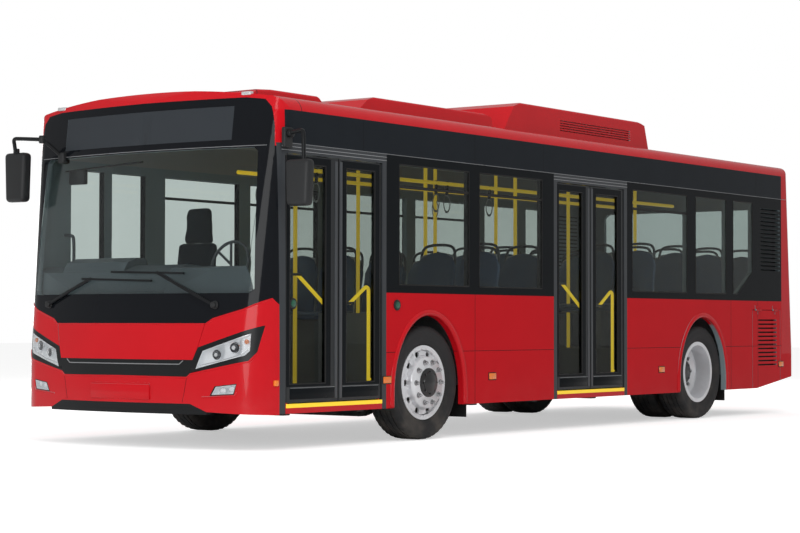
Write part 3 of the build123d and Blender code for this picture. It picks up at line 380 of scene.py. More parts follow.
class Effects:
    """The surface effects that several finishes share, each built once as a group."""

    def __init__(self) -> None:
        """Build every group."""
        self.grain = self._grain()
        self.dust = self._dust()
        self.seam = self._seam()
        self.inside = self._inside()

    def _grain(self) -> bpy.types.NodeTree:
        """Fine unevenness with soft large waves; puts out a height and a spread for roughness.

        Returns:
            The group.
        """
        tree = new_group("grain", {"Scale": 400.0, "Waves": 3.0}, ("Height", "Spread"))
        wire = Wiring(tree)
        scale, waves = tree.nodes["in"].outputs[0], tree.nodes["in"].outputs[1]
        fine, broad = wire.noise(scale), wire.noise(waves, 2.0)
        wire.feed(tree.nodes["out"].inputs[0], wire.sum("MULTIPLY_ADD", broad, 2.0, fine))
        wire.feed(tree.nodes["out"].inputs[1], broad)
        return tree

    def _dust(self) -> bpy.types.NodeTree:
        """Road dust that fades out with height, broken up by noise.

        Returns:
            The group.
        """
        tree = new_group("road_dust", {"Low": 0.1, "High": 0.9}, ("Mask",))
        wire = Wiring(tree)
        low, high = tree.nodes["in"].outputs[0], tree.nodes["in"].outputs[1]
        height = wire.split(wire.node("ShaderNodeTexCoord").outputs["Object"])[2]
        fade = wire.between(height, high, low)
        patches = wire.between(wire.noise(6.0, 6.0), 0.35, 0.75)
        wire.feed(tree.nodes["out"].inputs[0], wire.sum("MULTIPLY", fade, patches))
        return tree

    def _seam(self) -> bpy.types.NodeTree:
        """A narrow line where a coordinate has one value.

        Returns:
            The group.
        """
        tree = new_group("panel_seam", {"Value": 0.0, "At": 0.0, "Half width": 0.002}, ("Mask",))
        wire = Wiring(tree)
        value, place, width = tree.nodes["in"].outputs[:3]
        apart = wire.sum("ABSOLUTE", wire.sum("SUBTRACT", value, place))
        wire.feed(
            tree.nodes["out"].inputs[0], wire.between(apart, wire.sum("MULTIPLY", width, 1.4), width),
        )
        return tree

    def _inside(self) -> bpy.types.NodeTree:
        """The side of a body panel that faces the cabin, from its normal and place.

        Returns:
            The group.
        """
        tree = new_group("cabin_side", {"Middle height": 1.4}, ("Mask",))
        wire = Wiring(tree)
        coords = wire.node("ShaderNodeTexCoord")
        place, normal = wire.split(coords.outputs["Object"]), wire.split(coords.outputs["Normal"])
        across = wire.sum("MULTIPLY", place[0], normal[0])
        along = wire.sum("MULTIPLY", wire.sum("MULTIPLY", place[1], 0.28), normal[1])
        up = wire.sum(
            "MULTIPLY", wire.sum("SUBTRACT", place[2], tree.nodes["in"].outputs[0]), normal[2],
        )
        outward = wire.sum("ADD", wire.sum("ADD", across, along), up)
        wire.feed(tree.nodes["out"].inputs[0], wire.between(outward, 0.02, -0.05))
        return tree


# ------------------------------------------------------------------ finishes
@dataclass(frozen=True)
class Seam:
    """A panel joint: the axis it stands across, its place and half its width."""

    axis: Axis
    at: float
    half_width: float = 0.0022


@dataclass(frozen=True)
class Finish:
    """A surface finish and everything that its material is made from."""

    name: str
    colour: Point
    roughness: float = 0.4
    metallic: float = 0.0
    coat: float = 0.0
    specular: float = 0.35
    grain: float = 400.0
    waves: float = 3.0
    bump: float = 0.02
    shade: float = 0.12
    rough_spread: float = 0.12
    dust: float = 0.0
    dust_height: float = 0.9
    cabin_colour: Point | None = None
    seams: tuple[Seam, ...] = ()
    # Painted light: a glow of the finish's own colour, for parts that are no lamp.
    painted_glow: float = 0.0
    # Place across the bus beyond which a leaf is rail yellow, with a painted glow of that yellow.
    yellow_rail_glow_inside: float | None = None
    red_corner: Pair | None = None

    def material(self, effects: Effects) -> bpy.types.Material:
        """Build the material.

        Args:
            effects: The shared groups.

        Returns:
            A material with one Principled shader.
        """
        made = bpy.data.materials.new(self.name)
        made.use_nodes = True
        made.node_tree.nodes.clear()
        wire = Wiring(made.node_tree)
        shader = wire.node("ShaderNodeBsdfPrincipled")
        wire.feed(wire.node("ShaderNodeOutputMaterial").inputs["Surface"], shader.outputs[0])
        grain = wire.node("ShaderNodeGroup", node_tree=effects.grain)
        grain.inputs["Scale"].default_value = self.grain
        grain.inputs["Waves"].default_value = self.waves
        dark = tuple(part * (1 - self.shade) for part in self.colour)
        light = tuple(min(1.0, part * (1 + self.shade)) for part in self.colour)
        colour = wire.mix(grain.outputs["Spread"], dark, light)
        rough = wire.sum("MULTIPLY_ADD", grain.outputs["Spread"], self.rough_spread,
                         self.roughness - self.rough_spread / 2)
        coords = wire.node("ShaderNodeTexCoord")
        place = wire.split(coords.outputs["Object"])
        height = grain.outputs["Height"]
        if self.dust:
            dust = wire.node("ShaderNodeGroup", node_tree=effects.dust)
            dust.inputs["High"].default_value = self.dust_height
            share = wire.sum("MULTIPLY", dust.outputs[0], self.dust)
            colour = wire.mix(share, colour, (0.16, 0.14, 0.12))
            rough = wire.sum("MULTIPLY_ADD", share, 0.5, rough, clamp=True)
        for seam in self.seams:
            line = wire.node("ShaderNodeGroup", node_tree=effects.seam)
            wire.feed(line.inputs["Value"], place[seam.axis.value])
            line.inputs["At"].default_value = seam.at
            line.inputs["Half width"].default_value = seam.half_width
            colour = wire.mix(line.outputs[0], colour, (0.008, 0.008, 0.009))
            height = wire.sum("MULTIPLY_ADD", line.outputs[0], -6.0, height)
        if self.cabin_colour:
            inside = wire.node("ShaderNodeGroup", node_tree=effects.inside)
            colour = wire.mix(inside.outputs[0], colour, self.cabin_colour)
            rough = wire.sum("MULTIPLY_ADD", inside.outputs[0], 0.35, rough, clamp=True)
        if self.red_corner:
            back, low = self.red_corner
            corner = wire.sum("MULTIPLY", wire.between(place[1], back + 0.002, back),
                              wire.between(place[2], low, low + 0.002))
            colour = wire.mix(corner, colour, BUS_RED)
        if self.yellow_rail_glow_inside is not None:
            rail = wire.between(place[0], self.yellow_rail_glow_inside + 0.001, self.yellow_rail_glow_inside - 0.001)
            colour = wire.mix(rail, colour, RAIL_YELLOW)
            # Painted light: the yellow part also glows with its own colour, though it is no lamp.
            wire.feed(shader.inputs["Emission Color"], wire.mix(rail, (0.0, 0.0, 0.0), RAIL_YELLOW))
            shader.inputs["Emission Strength"].default_value = 1.1
        # Painted light: the part gives off its own colour, so it is brighter than the lamps alone make it.
        if self.painted_glow:
            wire.feed(shader.inputs["Emission Color"], (*self.colour, 1.0))
            shader.inputs["Emission Strength"].default_value = self.painted_glow
        wire.feed(shader.inputs["Base Color"], colour)
        wire.feed(shader.inputs["Roughness"], rough)
        shader.inputs["Metallic"].default_value = self.metallic
        shader.inputs["Specular IOR Level"].default_value = self.specular
        shader.inputs["Coat Weight"].default_value = self.coat
        shader.inputs["Coat Roughness"].default_value = 0.04
        bump = wire.node("ShaderNodeBump")
        bump.inputs["Strength"].default_value = self.bump
        bump.inputs["Distance"].default_value = 0.002
        wire.feed(bump.inputs["Height"], height)
        wire.feed(shader.inputs["Normal"], bump.outputs[0])
        return made


@dataclass(frozen=True)
class GlassFinish:
    """A clear, tinted or mirrored pane."""

    name: str
    colour: Point
    roughness: float = 0.0
    ior: float = 1.2
    transmission: float = 1.0
    metallic: float = 0.0

    def material(self, effects: Effects) -> bpy.types.Material:
        """Build the material.

        Args:
            effects: The shared groups.

        Returns:
            A material with one Principled shader.
        """
        made = bpy.data.materials.new(self.name)
        made.use_nodes = True
        made.node_tree.nodes.clear()
        wire = Wiring(made.node_tree)
        shader = wire.node("ShaderNodeBsdfPrincipled")
        wire.feed(wire.node("ShaderNodeOutputMaterial").inputs["Surface"], shader.outputs[0])
        grain = wire.node("ShaderNodeGroup", node_tree=effects.grain)
        grain.inputs["Scale"].default_value = 40.0
        grain.inputs["Waves"].default_value = 1.5
        dark = tuple(part * 0.93 for part in self.colour)
        wire.feed(shader.inputs["Base Color"], wire.mix(grain.outputs["Spread"], dark, self.colour))
        rough = wire.sum("MULTIPLY_ADD", grain.outputs["Spread"], 0.004, self.roughness)
        wire.feed(shader.inputs["Roughness"], rough)
        shader.inputs["Metallic"].default_value = self.metallic
        shader.inputs["Transmission Weight"].default_value = self.transmission
        shader.inputs["IOR"].default_value = self.ior
        return made


RAIL_YELLOW = (0.83, 0.56, 0.02)
CABIN = (0.22, 0.275, 0.295)
RED_CORNER = (FRONT_AXLE - 1.808, 2.225)
BUS_RED = (0.54, 0.006, 0.012)
LEAF_INSIDE = HALF - 0.006 - 0.040
SIDE_SEAMS = (
    Seam(Axis.Y, FRONT_AXLE + 0.645), Seam(Axis.Y, FRONT_AXLE + 5.246), Seam(Axis.Y, FRONT_AXLE + 5.85),
    Seam(Axis.Z, 0.705, 0.0018),
)
BAND_SEAMS = (Seam(Axis.Y, FRONT_AXLE + 0.645), Seam(Axis.Y, FRONT_AXLE + 5.85))
RAIL_SEAMS = (
    Seam(Axis.Y, FRONT_AXLE - 0.88), Seam(Axis.Y, FRONT_AXLE + 0.64), Seam(Axis.Y, FRONT_AXLE + 1.70),
    Seam(Axis.Y, FRONT_AXLE + 5.81),
)


class Paint(Enum):
    """Every finish on the bus."""

    RED = Finish(
        "red_gloss", BUS_RED, 0.2, coat=0.3, specular=0.1, bump=0.006, shade=0.05, cabin_colour=CABIN,
    )
    RED_SIDE = Finish(
        "red_gloss_side", BUS_RED, 0.2, coat=0.06, specular=0.05, bump=0.004, shade=0.05, dust=0.06,
        dust_height=0.6, cabin_colour=CABIN, seams=SIDE_SEAMS,
    )
    RED_ROOF = Finish("red_gloss_roof", BUS_RED, 0.22, coat=0.35, specular=0.1, bump=0.006, shade=0.07,
                      cabin_colour=(0.42, 0.43, 0.43), seams=(Seam(Axis.Y, FRONT_AXLE - 1.63, 0.003),))
    BLACK = Finish(
        "black_gloss_panel", (0.0065, 0.008, 0.0095), 0.14, coat=0.0, specular=0.07, bump=0.005,
        shade=0.1, cabin_colour=CABIN, seams=BAND_SEAMS,
    )
    BLACK_RAIL = Finish(
        "black_gloss_rail", (0.013, 0.016, 0.020), 0.18, coat=0.0, specular=0.07, bump=0.005, shade=0.1,
        cabin_colour=(0.3, 0.31, 0.31), seams=RAIL_SEAMS, red_corner=RED_CORNER,
    )
    MASK = Finish(
        "black_gloss_mask", (0.006, 0.007, 0.009), 0.08, coat=0.0, specular=0.15, bump=0.003, shade=0.1,
        cabin_colour=CABIN,
    )
    FRAME = Finish(
        "dark_satin_frame", (0.036, 0.040, 0.045), 0.34, specular=0.25, bump=0.04, shade=0.1, coat=0.2,
    )
    LEAF = Finish(
        "dark_satin_leaf", (0.017, 0.019, 0.021), 0.34, specular=0.25, bump=0.03, shade=0.1, coat=0.2,
        yellow_rail_glow_inside=LEAF_INSIDE - 0.001, dust=0.15, dust_height=0.6,
    )
    PLASTIC = Finish("black_grained_plastic", (0.018, 0.019, 0.02), 0.48, grain=900.0, bump=0.18)
    SATIN_BLACK = Finish(
        "black_satin_plastic", (0.010, 0.011, 0.012), 0.3, specular=0.2, grain=600.0, bump=0.03,
    )
    RUBBER = Finish("black_rubber", (0.012, 0.012, 0.012), 0.62, grain=700.0, bump=0.12, shade=0.2)
    TYRE = Finish("tyre_rubber", (0.022, 0.022, 0.023), 0.68, grain=500.0, bump=0.15, shade=0.25,
                  dust=0.45, dust_height=0.75)
    SILVER = Finish("silver_enamel", (0.82, 0.83, 0.855), 0.3, metallic=0.45, bump=0.02, shade=0.08,
                    dust=0.2, dust_height=0.8)
    STEEL = Finish("bright_steel", (0.55, 0.55, 0.56), 0.24, metallic=1.0, grain=250.0, bump=0.04)
    CHROME = Finish("chrome_plate", (0.8, 0.81, 0.82), 0.08, metallic=1.0, bump=0.0, rough_spread=0.03)
    CHASSIS = Finish("underbody_black", (0.03, 0.03, 0.032), 0.6, bump=0.15, shade=0.3, dust=0.7,
                     dust_height=1.0)
    IRON = Finish("cast_iron", (0.06, 0.06, 0.062), 0.55, metallic=0.4, grain=180.0, bump=0.3,
                  shade=0.3, dust=0.5)
    FLOOR = Finish("speckled_vinyl", (0.13, 0.14, 0.15), 0.5, grain=260.0, bump=0.1, shade=0.35)
    LINING = Finish("cabin_lining", (0.2, 0.21, 0.215), 0.55, grain=700.0, bump=0.08)
    DASH = Finish("dash_moulding", (0.085, 0.105, 0.115), 0.5, grain=900.0, bump=0.05, specular=0.2)
    SEAT = Finish("seat_moulding", (0.022, 0.065, 0.15), 0.4, grain=800.0, bump=0.08, coat=0.2)
    GRIP = Finish("grey_grip", (0.045, 0.052, 0.058), 0.4, specular=0.25)
    SEAT_EDGE = Finish("seat_edge", (0.32, 0.345, 0.37), 0.4, grain=700.0, bump=0.06)
    CLOTH = Finish("driver_cloth", (0.024, 0.031, 0.036), 0.85, grain=300.0, bump=0.02, specular=0.1)
    # Painted light: everything in this yellow (handrails, sill strips) gives off a glow of its own colour,
    # though it is no lamp.
    YELLOW = Finish(
        "yellow_powder_coat", RAIL_YELLOW, 0.33, grain=600.0, bump=0.03, coat=0.3, shade=0.05,
        painted_glow=0.45,
    )
    WHITE = Finish("white_reflector", (0.75, 0.76, 0.77), 0.22, metallic=0.6, bump=0.02)
    RIDGE = Finish("grey_satin_ridge", (0.055, 0.060, 0.066), 0.3, bump=0.02, specular=0.3)
    SEAM = Finish("black_seam", (0.006, 0.006, 0.007), 0.5, specular=0.15)
    DOME = Finish(
        "dark_projector_glass", (0.03, 0.035, 0.045), 0.06, coat=1.0, bump=0.0, rough_spread=0.02,
    )
    # Painted highlight: the light grey of these thin lines at joints and edges stands in for the
    # highlights that catch there.
    TRIM = Finish("grey_trim_line", (0.28, 0.29, 0.3), 0.3, metallic=0.4, bump=0.02)
    HUB = Finish("black_hub_enamel", (0.016, 0.016, 0.017), 0.32, grain=300.0, bump=0.08, coat=0.3)
    # Painted light: the silver lamp bowls give off a faint glow of their own colour, a painted sheen that
    # brightens them.
    BOWL = Finish("lamp_bowl", (0.86, 0.88, 0.9), 0.25, metallic=0.5, grain=120.0, bump=0.02, painted_glow=0.12)
    ORANGE = Finish("orange_lens", (0.85, 0.2, 0.01), 0.18, coat=1.0, grain=350.0, bump=0.2)
    RED_LENS = Finish("red_lens", (0.42, 0.008, 0.008), 0.15, coat=1.0, grain=350.0, bump=0.2)
    GREEN = Finish("green_button", (0.01, 0.09, 0.05), 0.3, coat=0.6, bump=0.03)
    SIGN = Finish(
        "dark_display", (0.034, 0.039, 0.045), 0.3, specular=0.1, grain=60.0, bump=0.0, shade=0.02,
    )
    PLATE = Finish("blank_plate", (0.6, 0.6, 0.58), 0.4, grain=300.0, bump=0.03)


class Pane(Enum):
    """Every glass on the bus."""

    SIDE = GlassFinish("tinted_side_glass", (0.53, 0.585, 0.56))
    DOOR = GlassFinish("tinted_door_glass", (0.50, 0.55, 0.525))
    FRONT = GlassFinish("windscreen_glass", (0.93, 0.985, 0.98), ior=1.22)
    REAR = GlassFinish("tinted_rear_glass", (0.5, 0.57, 0.56))
    LAMP = GlassFinish("clear_lens", (0.96, 0.97, 0.98), ior=1.3)
    MIRROR = GlassFinish("mirror_glass", (0.85, 0.87, 0.88), ior=1.45, transmission=0.0, metallic=1.0)


class Paintshop:
    """Builds each finish's material once and puts it on pieces."""

    def __init__(self) -> None:
        """Build the shared effects."""
        self.effects = Effects()
        self.made: dict[str, bpy.types.Material] = {}

    def material(self, finish: Paint | Pane) -> bpy.types.Material:
        """Return the material of a finish, building it the first time.

        Args:
            finish: The finish.

        Returns:
            Its material.
        """
        if finish.value.name not in self.made:
            self.made[finish.value.name] = finish.value.material(self.effects)
        return self.made[finish.value.name]

    def coat(self, piece: bpy.types.Object, finish: Paint | Pane) -> None:
        """Give a piece one finish all over."""
        piece.data.materials.clear()
        piece.data.materials.append(self.material(finish))

    def coat_frame(self, choice: dict[str, Paint | Pane]) -> None:
        """Give every CAD node its finish.

        Args:
            choice: The finish of each node.
        """
        for name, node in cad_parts.items():
            self.coat(node, choice[name])
            log.info("node %s is %s", name, choice[name].value.name)


FINISH_OF = {
    "ac_unit": Paint.RED_ROOF, "bumper": Paint.RED, "cant_rails": Paint.BLACK_RAIL,
    "chassis_frame": Paint.CHASSIS, "corner_posts": Paint.MASK, "dashboard": Paint.DASH,
    "door_frames": Paint.FRAME, "door_sills": Paint.RED, "driver_seat": Paint.CLOTH,
    "engine": Paint.IRON, "engine_lid": Paint.RED_SIDE, "floor": Paint.FLOOR,
    "front_axle": Paint.CHASSIS, "front_door_front_glass": Pane.DOOR,
    "front_door_front_leaf": Paint.LEAF, "front_door_rear_glass": Pane.DOOR,
    "front_door_rear_leaf": Paint.LEAF, "front_glass": Pane.FRONT, "front_lamps": Paint.SATIN_BLACK,
    "front_left_rim": Paint.SILVER, "front_left_tyre": Paint.TYRE, "front_mask": Paint.MASK,
    "front_panels": Paint.RED, "front_right_rim": Paint.SILVER, "front_right_tyre": Paint.TYRE,
    "grille_and_lip": Paint.SATIN_BLACK, "handrails": Paint.YELLOW, "left_knuckle": Paint.IRON,
    "left_lower_wall": Paint.RED_SIDE, "left_window_wall": Paint.BLACK,
    "middle_door_front_glass": Pane.DOOR, "middle_door_front_leaf": Paint.LEAF,
    "middle_door_rear_glass": Pane.DOOR, "middle_door_rear_leaf": Paint.LEAF,
    "mirrors": Paint.PLASTIC, "mudflaps": Paint.RUBBER, "passenger_seats": Paint.SEAT,
    "rear_axle": Paint.CHASSIS, "rear_bumper": Paint.RED_SIDE, "rear_lamps": Paint.RED_LENS,
    "rear_left_rims": Paint.SILVER, "rear_left_tyres": Paint.TYRE, "rear_right_rims": Paint.SILVER,
    "rear_right_tyres": Paint.TYRE, "rear_wall": Paint.RED, "rear_window": Pane.REAR,
    "right_knuckle": Paint.IRON, "right_lower_wall": Paint.RED_SIDE, "right_window_wall": Paint.BLACK,
    "roof": Paint.RED_ROOF, "roof_pods": Paint.RED_ROOF, "service_hatch": Paint.RED_SIDE,
    "side_windows": Pane.SIDE, "steering_wheel": Paint.DASH, "wheel_boxes": Paint.LINING,
    "wipers": Paint.SATIN_BLACK,
}


# ------------------------------------------------------------------ modelling steps
class Bench:
    """Modelling steps done with Blender's own operators, and the finishing of each piece."""

    def __init__(self, shop: Paintshop) -> None:
        """Keep the paintshop that colours the pieces."""
        self.shop = shop

    def clear(self) -> None:
        """Leave edit mode and deselect everything."""
        if bpy.context.object and bpy.context.object.mode != "OBJECT":
            bpy.ops.object.mode_set(mode="OBJECT")
        bpy.ops.object.select_all(action="DESELECT")

    def take(self, *pieces: bpy.types.Object) -> None:
        """Select these pieces alone and make the first one active.

        Args:
            *pieces: The pieces.
        """
        self.clear()
        for piece in pieces:
            piece.select_set(True)
        bpy.context.view_layer.objects.active = pieces[0]

    def edit(self, piece: bpy.types.Object, mode: str = "FACE") -> None:
        """Open a piece in edit mode with nothing selected.

        Args:
            piece: The piece.
            mode: VERT, EDGE or FACE: what is selected.
        """
        self.take(piece)
        bpy.ops.object.mode_set(mode="EDIT")
        bpy.ops.mesh.select_mode(type=mode)
        bpy.ops.mesh.select_all(action="DESELECT")

    def edit_all(self, piece: bpy.types.Object) -> None:
        """Open a piece in edit mode with everything selected."""
        self.edit(piece)
        bpy.ops.mesh.select_all(action="SELECT")

    def pick(self, piece: bpy.types.Object, test: object) -> None:
        """Select the faces that pass a test.

        Args:
            piece: The piece, open in edit mode.
            test: Takes a face and tells whether it is wanted.
        """
        bpy.ops.object.mode_set(mode="OBJECT")
        for face in piece.data.polygons:
            face.select = test(face)
        bpy.ops.object.mode_set(mode="EDIT")

    def tidy(self, piece: bpy.types.Object, merge: float = 1e-5) -> None:
        """Merge doubled points and turn the faces outwards.

        Args:
            piece: The piece.
            merge: Points closer than this become one.
        """
        self.edit_all(piece)
        bpy.ops.mesh.remove_doubles(threshold=merge)
        bpy.ops.mesh.normals_make_consistent(inside=False)
        bpy.ops.object.mode_set(mode="OBJECT")

    def apply(self, piece: bpy.types.Object, kind: str, **settings: object) -> None:
        """Add a modifier to a piece and apply it.

        Args:
            piece: The piece.
            kind: The modifier's type.
            **settings: Its properties and their values.
        """
        self.take(piece)
        step = piece.modifiers.new(kind.lower(), kind)
        for key, value in settings.items():
            setattr(step, key, value)
        bpy.ops.object.modifier_apply(modifier=step.name)

    def slab(self, low: Point, high: Point, edge: float = 0.004, segments: int = 2) -> bpy.types.Object:
        """Make a box between two corners with rounded edges.

        Args:
            low: The lowest corner.
            high: The highest corner.
            edge: How far each edge is rounded.
            segments: Faces across each rounding.

        Returns:
            The new piece.
        """
        self.clear()
        low_v, high_v = Vector(low), Vector(high)
        bpy.ops.mesh.primitive_cube_add(size=1, location=(0, 0, 0))
        piece = bpy.context.object
        bpy.ops.object.mode_set(mode="EDIT")
        bpy.ops.mesh.select_all(action="SELECT")
        bpy.ops.transform.resize(value=high_v - low_v, center_override=(0, 0, 0))
        bpy.ops.transform.translate(value=(low_v + high_v) / 2)
        if edge:
            bpy.ops.mesh.bevel(offset=edge, segments=segments, affect="EDGES")
        bpy.ops.object.mode_set(mode="OBJECT")
        return piece

    def turned(self, profile: tuple[Pair, ...], steps: int = 32) -> bpy.types.Object:
        """Make a turned piece about Z by drawing a disc out ring by ring.

        Args:
            profile: Radius and height of each ring.
            steps: Faces around the axis.

        Returns:
            The new closed piece, still at the origin.
        """
        self.clear()
        radius, height = profile[0]
        bpy.ops.mesh.primitive_circle_add(
            vertices=steps, radius=radius, fill_type="NGON", location=(0, 0, 0)
        )
        piece = bpy.context.object
        bpy.ops.object.mode_set(mode="EDIT")
        bpy.ops.mesh.select_all(action="SELECT")
        bpy.ops.transform.translate(value=(0, 0, height))
        for next_radius, next_height in profile[1:]:
            bpy.ops.mesh.extrude_region_move(
                TRANSFORM_OT_translate={"value": (0, 0, next_height - height)}
            )
            share = next_radius / radius
            bpy.ops.transform.resize(value=(share, share, 1), center_override=(0, 0, next_height))
            radius, height = next_radius, next_height
        bpy.ops.object.mode_set(mode="OBJECT")
        self.tidy(piece)
        return piece

    def outline(self, points: tuple[Point, ...], along: Point, edge: float = 0.0) -> bpy.types.Object:
        """Make a plate from a flat outline drawn out along a vector.

        Args:
            points: The outline's corners in order.
            along: How far and which way the outline is drawn out.
            edge: How far each edge is rounded.

        Returns:
            The new piece.
        """
        self.clear()
        bpy.ops.mesh.primitive_circle_add(vertices=len(points), fill_type="NGON", location=(0, 0, 0))
        piece = bpy.context.object
        for corner, point in zip(piece.data.vertices, points):
            corner.co = point
        bpy.ops.object.mode_set(mode="EDIT")
        bpy.ops.mesh.select_all(action="SELECT")
        bpy.ops.mesh.extrude_region_move(TRANSFORM_OT_translate={"value": along})
        if edge:
            bpy.ops.mesh.select_all(action="SELECT")
            bpy.ops.mesh.bevel(offset=edge, segments=2, affect="EDGES")
        self.tidy(piece)
        return piece

    def tube(self, points: list[Point], radius: float, sides: int = 3, order: int = 3) -> bpy.types.Object:
        """Make a bent round bar along a smooth line.

        Args:
            points: The line's control points.
            radius: The bar's radius.
            sides: Quarter-turn resolution of the bar's section.
            order: 2 for straight runs, 3 for a smooth line.

        Returns:
            The new piece as a mesh.
        """
        self.clear()
        bpy.ops.curve.primitive_nurbs_path_add(location=(0, 0, 0))
        piece = bpy.context.object
        line = piece.data
        line.splines.clear()
        spline = line.splines.new("NURBS")
        spline.points.add(len(points) - 1)
        for point, place in zip(spline.points, points):
            point.co = (*place, 1.0)
        spline.order_u = order
        spline.use_endpoint_u = True
        line.resolution_u = 6
        line.bevel_depth = radius
        line.bevel_resolution = sides
        line.use_fill_caps = True
        bpy.ops.object.convert(target="MESH")
        piece = bpy.context.object
        self.tidy(piece)
        return piece

    def hoop(self, major: float, minor: float, steps: int = 40, sides: int = 10) -> bpy.types.Object:
        """Make a ring about Z at the origin.

        Args:
            major: The ring's radius.
            minor: Its section's radius.
            steps: Faces around the ring.
            sides: Faces around its section.

        Returns:
            The new piece.
        """
        self.clear()
        bpy.ops.mesh.primitive_torus_add(
            major_radius=major, minor_radius=minor, major_segments=steps, minor_segments=sides,
            location=(0, 0, 0),
        )
        return bpy.context.object

    def twin(self, piece: bpy.types.Object) -> bpy.types.Object:
        """Copy a piece with its own mesh.

        Args:
            piece: The piece.

        Returns:
            The copy.
        """
        copied = piece.copy()
        copied.data = piece.data.copy()
        bpy.context.collection.objects.link(copied)
        return copied

    def from_node(self, node: str) -> bpy.types.Object:
        """Copy a CAD node's mesh into a new piece, merged, with the node itself left alone.

        Args:
            node: The CAD node's name.

        Returns:
            The new piece.
        """
        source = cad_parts[node]
        piece = bpy.data.objects.new(f"{node}_copy", source.data.copy())
        bpy.context.collection.objects.link(piece)
        self.tidy(piece, 2e-5)
        return piece

    def cut(self, piece: bpy.types.Object, tool: bpy.types.Object, operation: str) -> None:
        """Cut or keep what one piece shares with another."""
        self.apply(piece, "BOOLEAN", object=tool, operation=operation, solver="EXACT")

    def keep(self, piece: bpy.types.Object, test: object) -> None:
        """Delete every face of a piece that fails a test.

        Args:
            piece: The piece.
            test: Takes a face and tells whether it stays.
        """
        self.edit(piece)
        self.pick(piece, lambda face: not test(face))
        bpy.ops.mesh.delete(type="FACE")
        bpy.ops.object.mode_set(mode="OBJECT")

    def place(self, piece: bpy.types.Object, turn: Matrix, at: Point) -> bpy.types.Object:
        """Turn a piece's mesh and move it to its place."""
        piece.data.transform(Matrix.Translation(Vector(at)) @ turn.to_4x4())
        return piece

    def join(self, pieces: list[bpy.types.Object]) -> bpy.types.Object:
        """Join pieces, with their finishes, into the first one.

        Args:
            pieces: The pieces.

        Returns:
            The joined piece.
        """
        self.take(*pieces)
        if len(pieces) > 1:
            bpy.ops.object.join()
        return bpy.context.view_layer.objects.active

    def paint(self, piece: bpy.types.Object, finish: Paint | Pane) -> bpy.types.Object:
        """Give a piece one finish and return it."""
        self.shop.coat(piece, finish)
        return piece

    def deliver(
        self, piece: bpy.types.Object, name: str, body: str = BODY, replaces: tuple[str, ...] = (),
        angle: float = 35.0,
    ) -> bpy.types.Object:
        """Name a finished piece, smooth it and put it on its body.

        Args:
            piece: The piece.
            name: Its name.
            body: The body that it rides on.
            replaces: The CAD nodes that it stands for.
            angle: Edges sharper than this stay sharp, in degrees.

        Returns:
            The same piece.
        """
        self.take(piece)
        bpy.ops.object.transform_apply(location=True, rotation=True, scale=True)
        bpy.ops.object.shade_smooth_by_angle(angle=math.radians(angle))
        piece.name = name
        piece.data.name = name
        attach(piece, body)
        if replaces:
            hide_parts(*replaces)
        log.info("piece %s on %s, %d faces", name, body, len(piece.data.polygons))
        self.clear()
        return piece


